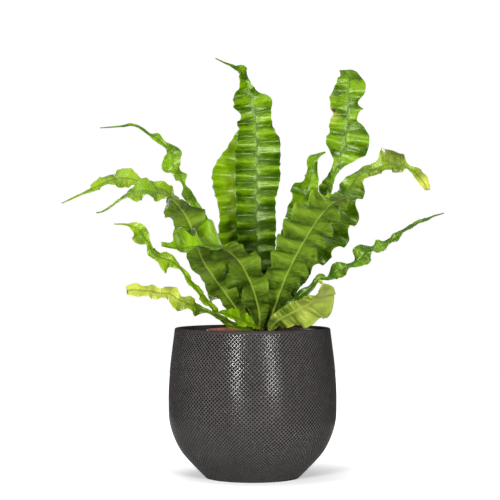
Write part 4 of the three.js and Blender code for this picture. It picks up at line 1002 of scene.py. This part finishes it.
def frond_shade_and_marks(name, st, sheet, crest):
    """Ripple height, yellow, brown and lightness at each point of the blade's surface. The ripple height
    paints the crests lighter and the troughs darker, and the lightness holds painted shade near the foot:
    painted light and shade.
    """
    foot_yellow, tip_yellow, lightness = TONES.get(name, PLAIN_TONE)
    along = (st["length"] / st["total"])[:, None] * np.ones_like(crest)
    yellow = lerp(foot_yellow, tip_yellow, ease((along - YELLOW_START) / YELLOW_FADE))
    brown = STALK_BROWN * (1 - ease((along - BROWN_END) / BROWN_FADE))
    brown += TIP_BROWN * ease((along - 1 + TIP_SHARE) / TIP_SHARE)
    for x, y, z, radius, more_yellow, more_brown in SPOTS.get(name, ()):
        near = np.exp(-((sheet - (x, y, z)) ** 2).sum(-1) / radius ** 2)
        yellow += more_yellow * near
        brown += more_brown * near
    light = lightness - FOOT_SHADE * (1 - ease(along / SHADE_END))
    # the first value paints the ripples' crests lighter and their troughs darker, and the last holds painted
    # shade near the foot
    return np.stack([0.5 + 0.5 * crest, yellow, brown, light], -1)


def make_frond(name, spec, materials, rng):
    st = stations_of(spec)
    half_columns = np.linspace(0, 1, COLUMNS + 1) ** COLUMN_SPREAD
    across = np.concatenate([-half_columns[::-1], half_columns[1:]])
    sheet, crest = frond_sheet(spec, st, across, rng)
    along_way = np.gradient(sheet, axis=0)
    across_way = np.gradient(sheet, axis=1)
    normal = np.cross(across_way, along_way)
    normal /= np.linalg.norm(normal, axis=2)[..., None]

    share = (st["length"] / st["total"])[:, None]
    stalk = 1 - ease((share - STALK_SHARE) / STALK_FADE)
    round_part = np.sqrt(np.maximum(THIN_STALK_EDGE, 1 - across ** 2))[None, :]
    half = np.where(across[None, :] < 0, st["halves"][:, 0:1], st["halves"][:, 1:2])
    from_rib = np.abs(across)[None, :] * half
    width = RIB_WIDTH * lerp(1, RIB_TIP_WIDTH, share)
    ridge = RIB_DEPTH * lerp(1, RIB_TIP_DEPTH, share) * np.exp(-(from_rib / width) ** 2)
    edge = np.clip((1 - np.abs(across)) / EDGE_SHARE, EDGE_THICKNESS, 1)[None, :]
    leaf_half = BLADE_THICKNESS / 2 * edge
    groove = GROOVE_DEPTH * np.exp(-(from_rib / GROOVE_WIDTH) ** 2)
    above = lerp(leaf_half - groove, STALK_RADIUS * round_part, stalk)
    below = lerp(leaf_half + ridge, STALK_RADIUS * round_part, stalk)
    top = sheet + normal * above[..., None]
    low = sheet - normal * below[..., None]

    rows, columns = sheet.shape[:2]
    each = rows * columns
    faces = np.concatenate([grid_faces(rows, columns), grid_faces(rows, columns, each, flip=True)])
    k = np.arange(rows - 1) * columns
    left = np.stack([k + each, k, k + columns, k + columns + each], 1)
    right = np.stack([k, k + each, k + columns + each, k + columns], 1) + columns - 1
    c = np.arange(columns - 1)
    foot = np.stack([c + each, c + each + 1, c + 1, c], 1)
    tip = np.stack([c, c + 1, c + 1 + each, c + each], 1) + (rows - 1) * columns
    faces = np.concatenate([faces, left, right, foot, tip])
    quads = (rows - 1) * (columns - 1)
    face_material = np.zeros(len(faces), np.int32)
    face_material[quads:2 * quads] = 1
    points = np.concatenate([top.reshape(-1, 3), low.reshape(-1, 3)])
    piece = make_piece(name + "_blade", points, faces, materials, face_material)

    shade_and_marks = frond_shade_and_marks(name, st, sheet, crest).reshape(-1, 4)
    layer = piece.data.attributes.new("shade_and_marks", "FLOAT_COLOR", "POINT")
    layer.data.foreach_set("color", np.tile(shade_and_marks, (2, 1)).ravel().astype(np.float32))
    place = np.stack([
        across[None, :] * half, np.broadcast_to(st["length"][:, None], half.shape), half,
    ], -1).reshape(-1, 3)
    keep_vectors(piece, "blade_place", "POINT", np.tile(place, (2, 1)))
    return stand_for(piece, "frond", name)


def make_floor():
    n = Nodes("pale_floor")
    place = n.object_place()
    distance = n.add("VectorMath", operation="LENGTH", Vector=place).outputs["Value"]
    n.finish(
        base_color=(0.8, 0.8, 0.8, 1),
        roughness=0.9,
        specular_ior_level=0.0,
        emission_color=(1, 1, 1, 1),
        emission_strength=n.ramp(distance, GLOW_NEAR * MM, GLOW_FAR * MM, NEAR_GLOW, FAR_GLOW),
    )
    corners = [
        (-FLOOR_FRONT_HALF, FLOOR_FRONT, 0), (FLOOR_FRONT_HALF, FLOOR_FRONT, 0),
        (FLOOR_BACK_HALF, FLOOR_BACK, 0), (-FLOOR_BACK_HALF, FLOOR_BACK, 0),
    ]
    floor = make_piece("studio_floor", corners, [(0, 1, 2, 3)], [n.material])


def area_light(name, place, target, size, power, only):
    """A soft lamp that the camera doesn't see. It reaches every piece, or only the given ones."""
    light = bpy.data.lights.new(name, "AREA")
    light.shape = "RECTANGLE"
    light.size, light.size_y = size
    light.energy = power
    lamp = bpy.data.objects.new(name, light)
    bpy.context.scene.collection.objects.link(lamp)
    lamp.location = place
    lamp.rotation_euler = (Vector(target) - Vector(place)).to_track_quat("-Z", "Y").to_euler()
    lamp.visible_camera = False
    if only is not None:
        reached = bpy.data.collections.new(name)
        for piece in only:
            reached.objects.link(piece)
        lamp.light_linking.receiver_collection = reached


def hang_lamps(lamps, only=None):
    for name, values in lamps.items():
        area_light(name, *values, only)


def make_studio():
    world = bpy.data.worlds.new("studio")
    bpy.context.scene.world = world
    world.use_nodes = True
    links, nodes = world.node_tree.links, world.node_tree.nodes
    background = nodes["Background"]
    way, split, room, rays, strength = (nodes.new("ShaderNode" + kind) for kind in (
        "TexCoord", "SeparateXYZ", "MapRange", "LightPath", "MapRange"))
    room.inputs["To Min"].default_value = HORIZON_LIGHT
    room.inputs["To Max"].default_value = ZENITH_LIGHT
    links.new(way.outputs["Generated"], split.inputs[0])
    links.new(split.outputs["Z"], room.inputs["Value"])
    links.new(room.outputs[0], strength.inputs["To Min"])
    links.new(rays.outputs["Is Camera Ray"], strength.inputs["Value"])
    links.new(strength.outputs[0], background.inputs["Strength"])
    background.inputs["Color"].default_value = (1, 1, 1, 1)
    hang_lamps(ROOM_LAMPS)
    bpy.context.scene.view_settings.view_transform = "Standard"


def make_camera():
    camera = bpy.data.cameras.new("camera")
    camera.lens = CAMERA_LENS
    camera.sensor_width = CAMERA_SENSOR
    rig = bpy.data.objects.new("camera", camera)
    rig.location = [x * MM for x in CAMERA_PLACE]
    rig.rotation_euler = (math.pi / 2, 0, 0)
    bpy.context.scene.collection.objects.link(rig)
    bpy.context.scene.camera = rig


def main():
    make_camera()
    make_studio()
    make_floor()
    hang_lamps(PLANTER_LAMPS, [make_planter()])
    pieces = [make_nursery_pot()]
    rng = np.random.default_rng(SEED)
    make_soil(rng)
    make_crown(rng)
    faces = [leaf_material(name, look) for name, look in LEAF_FACES.items()]
    for name, spec in FRONDS.items():
        pieces.append(make_frond(name, spec, faces, rng))
    hang_lamps(BACK_LAMPS, pieces)


main()
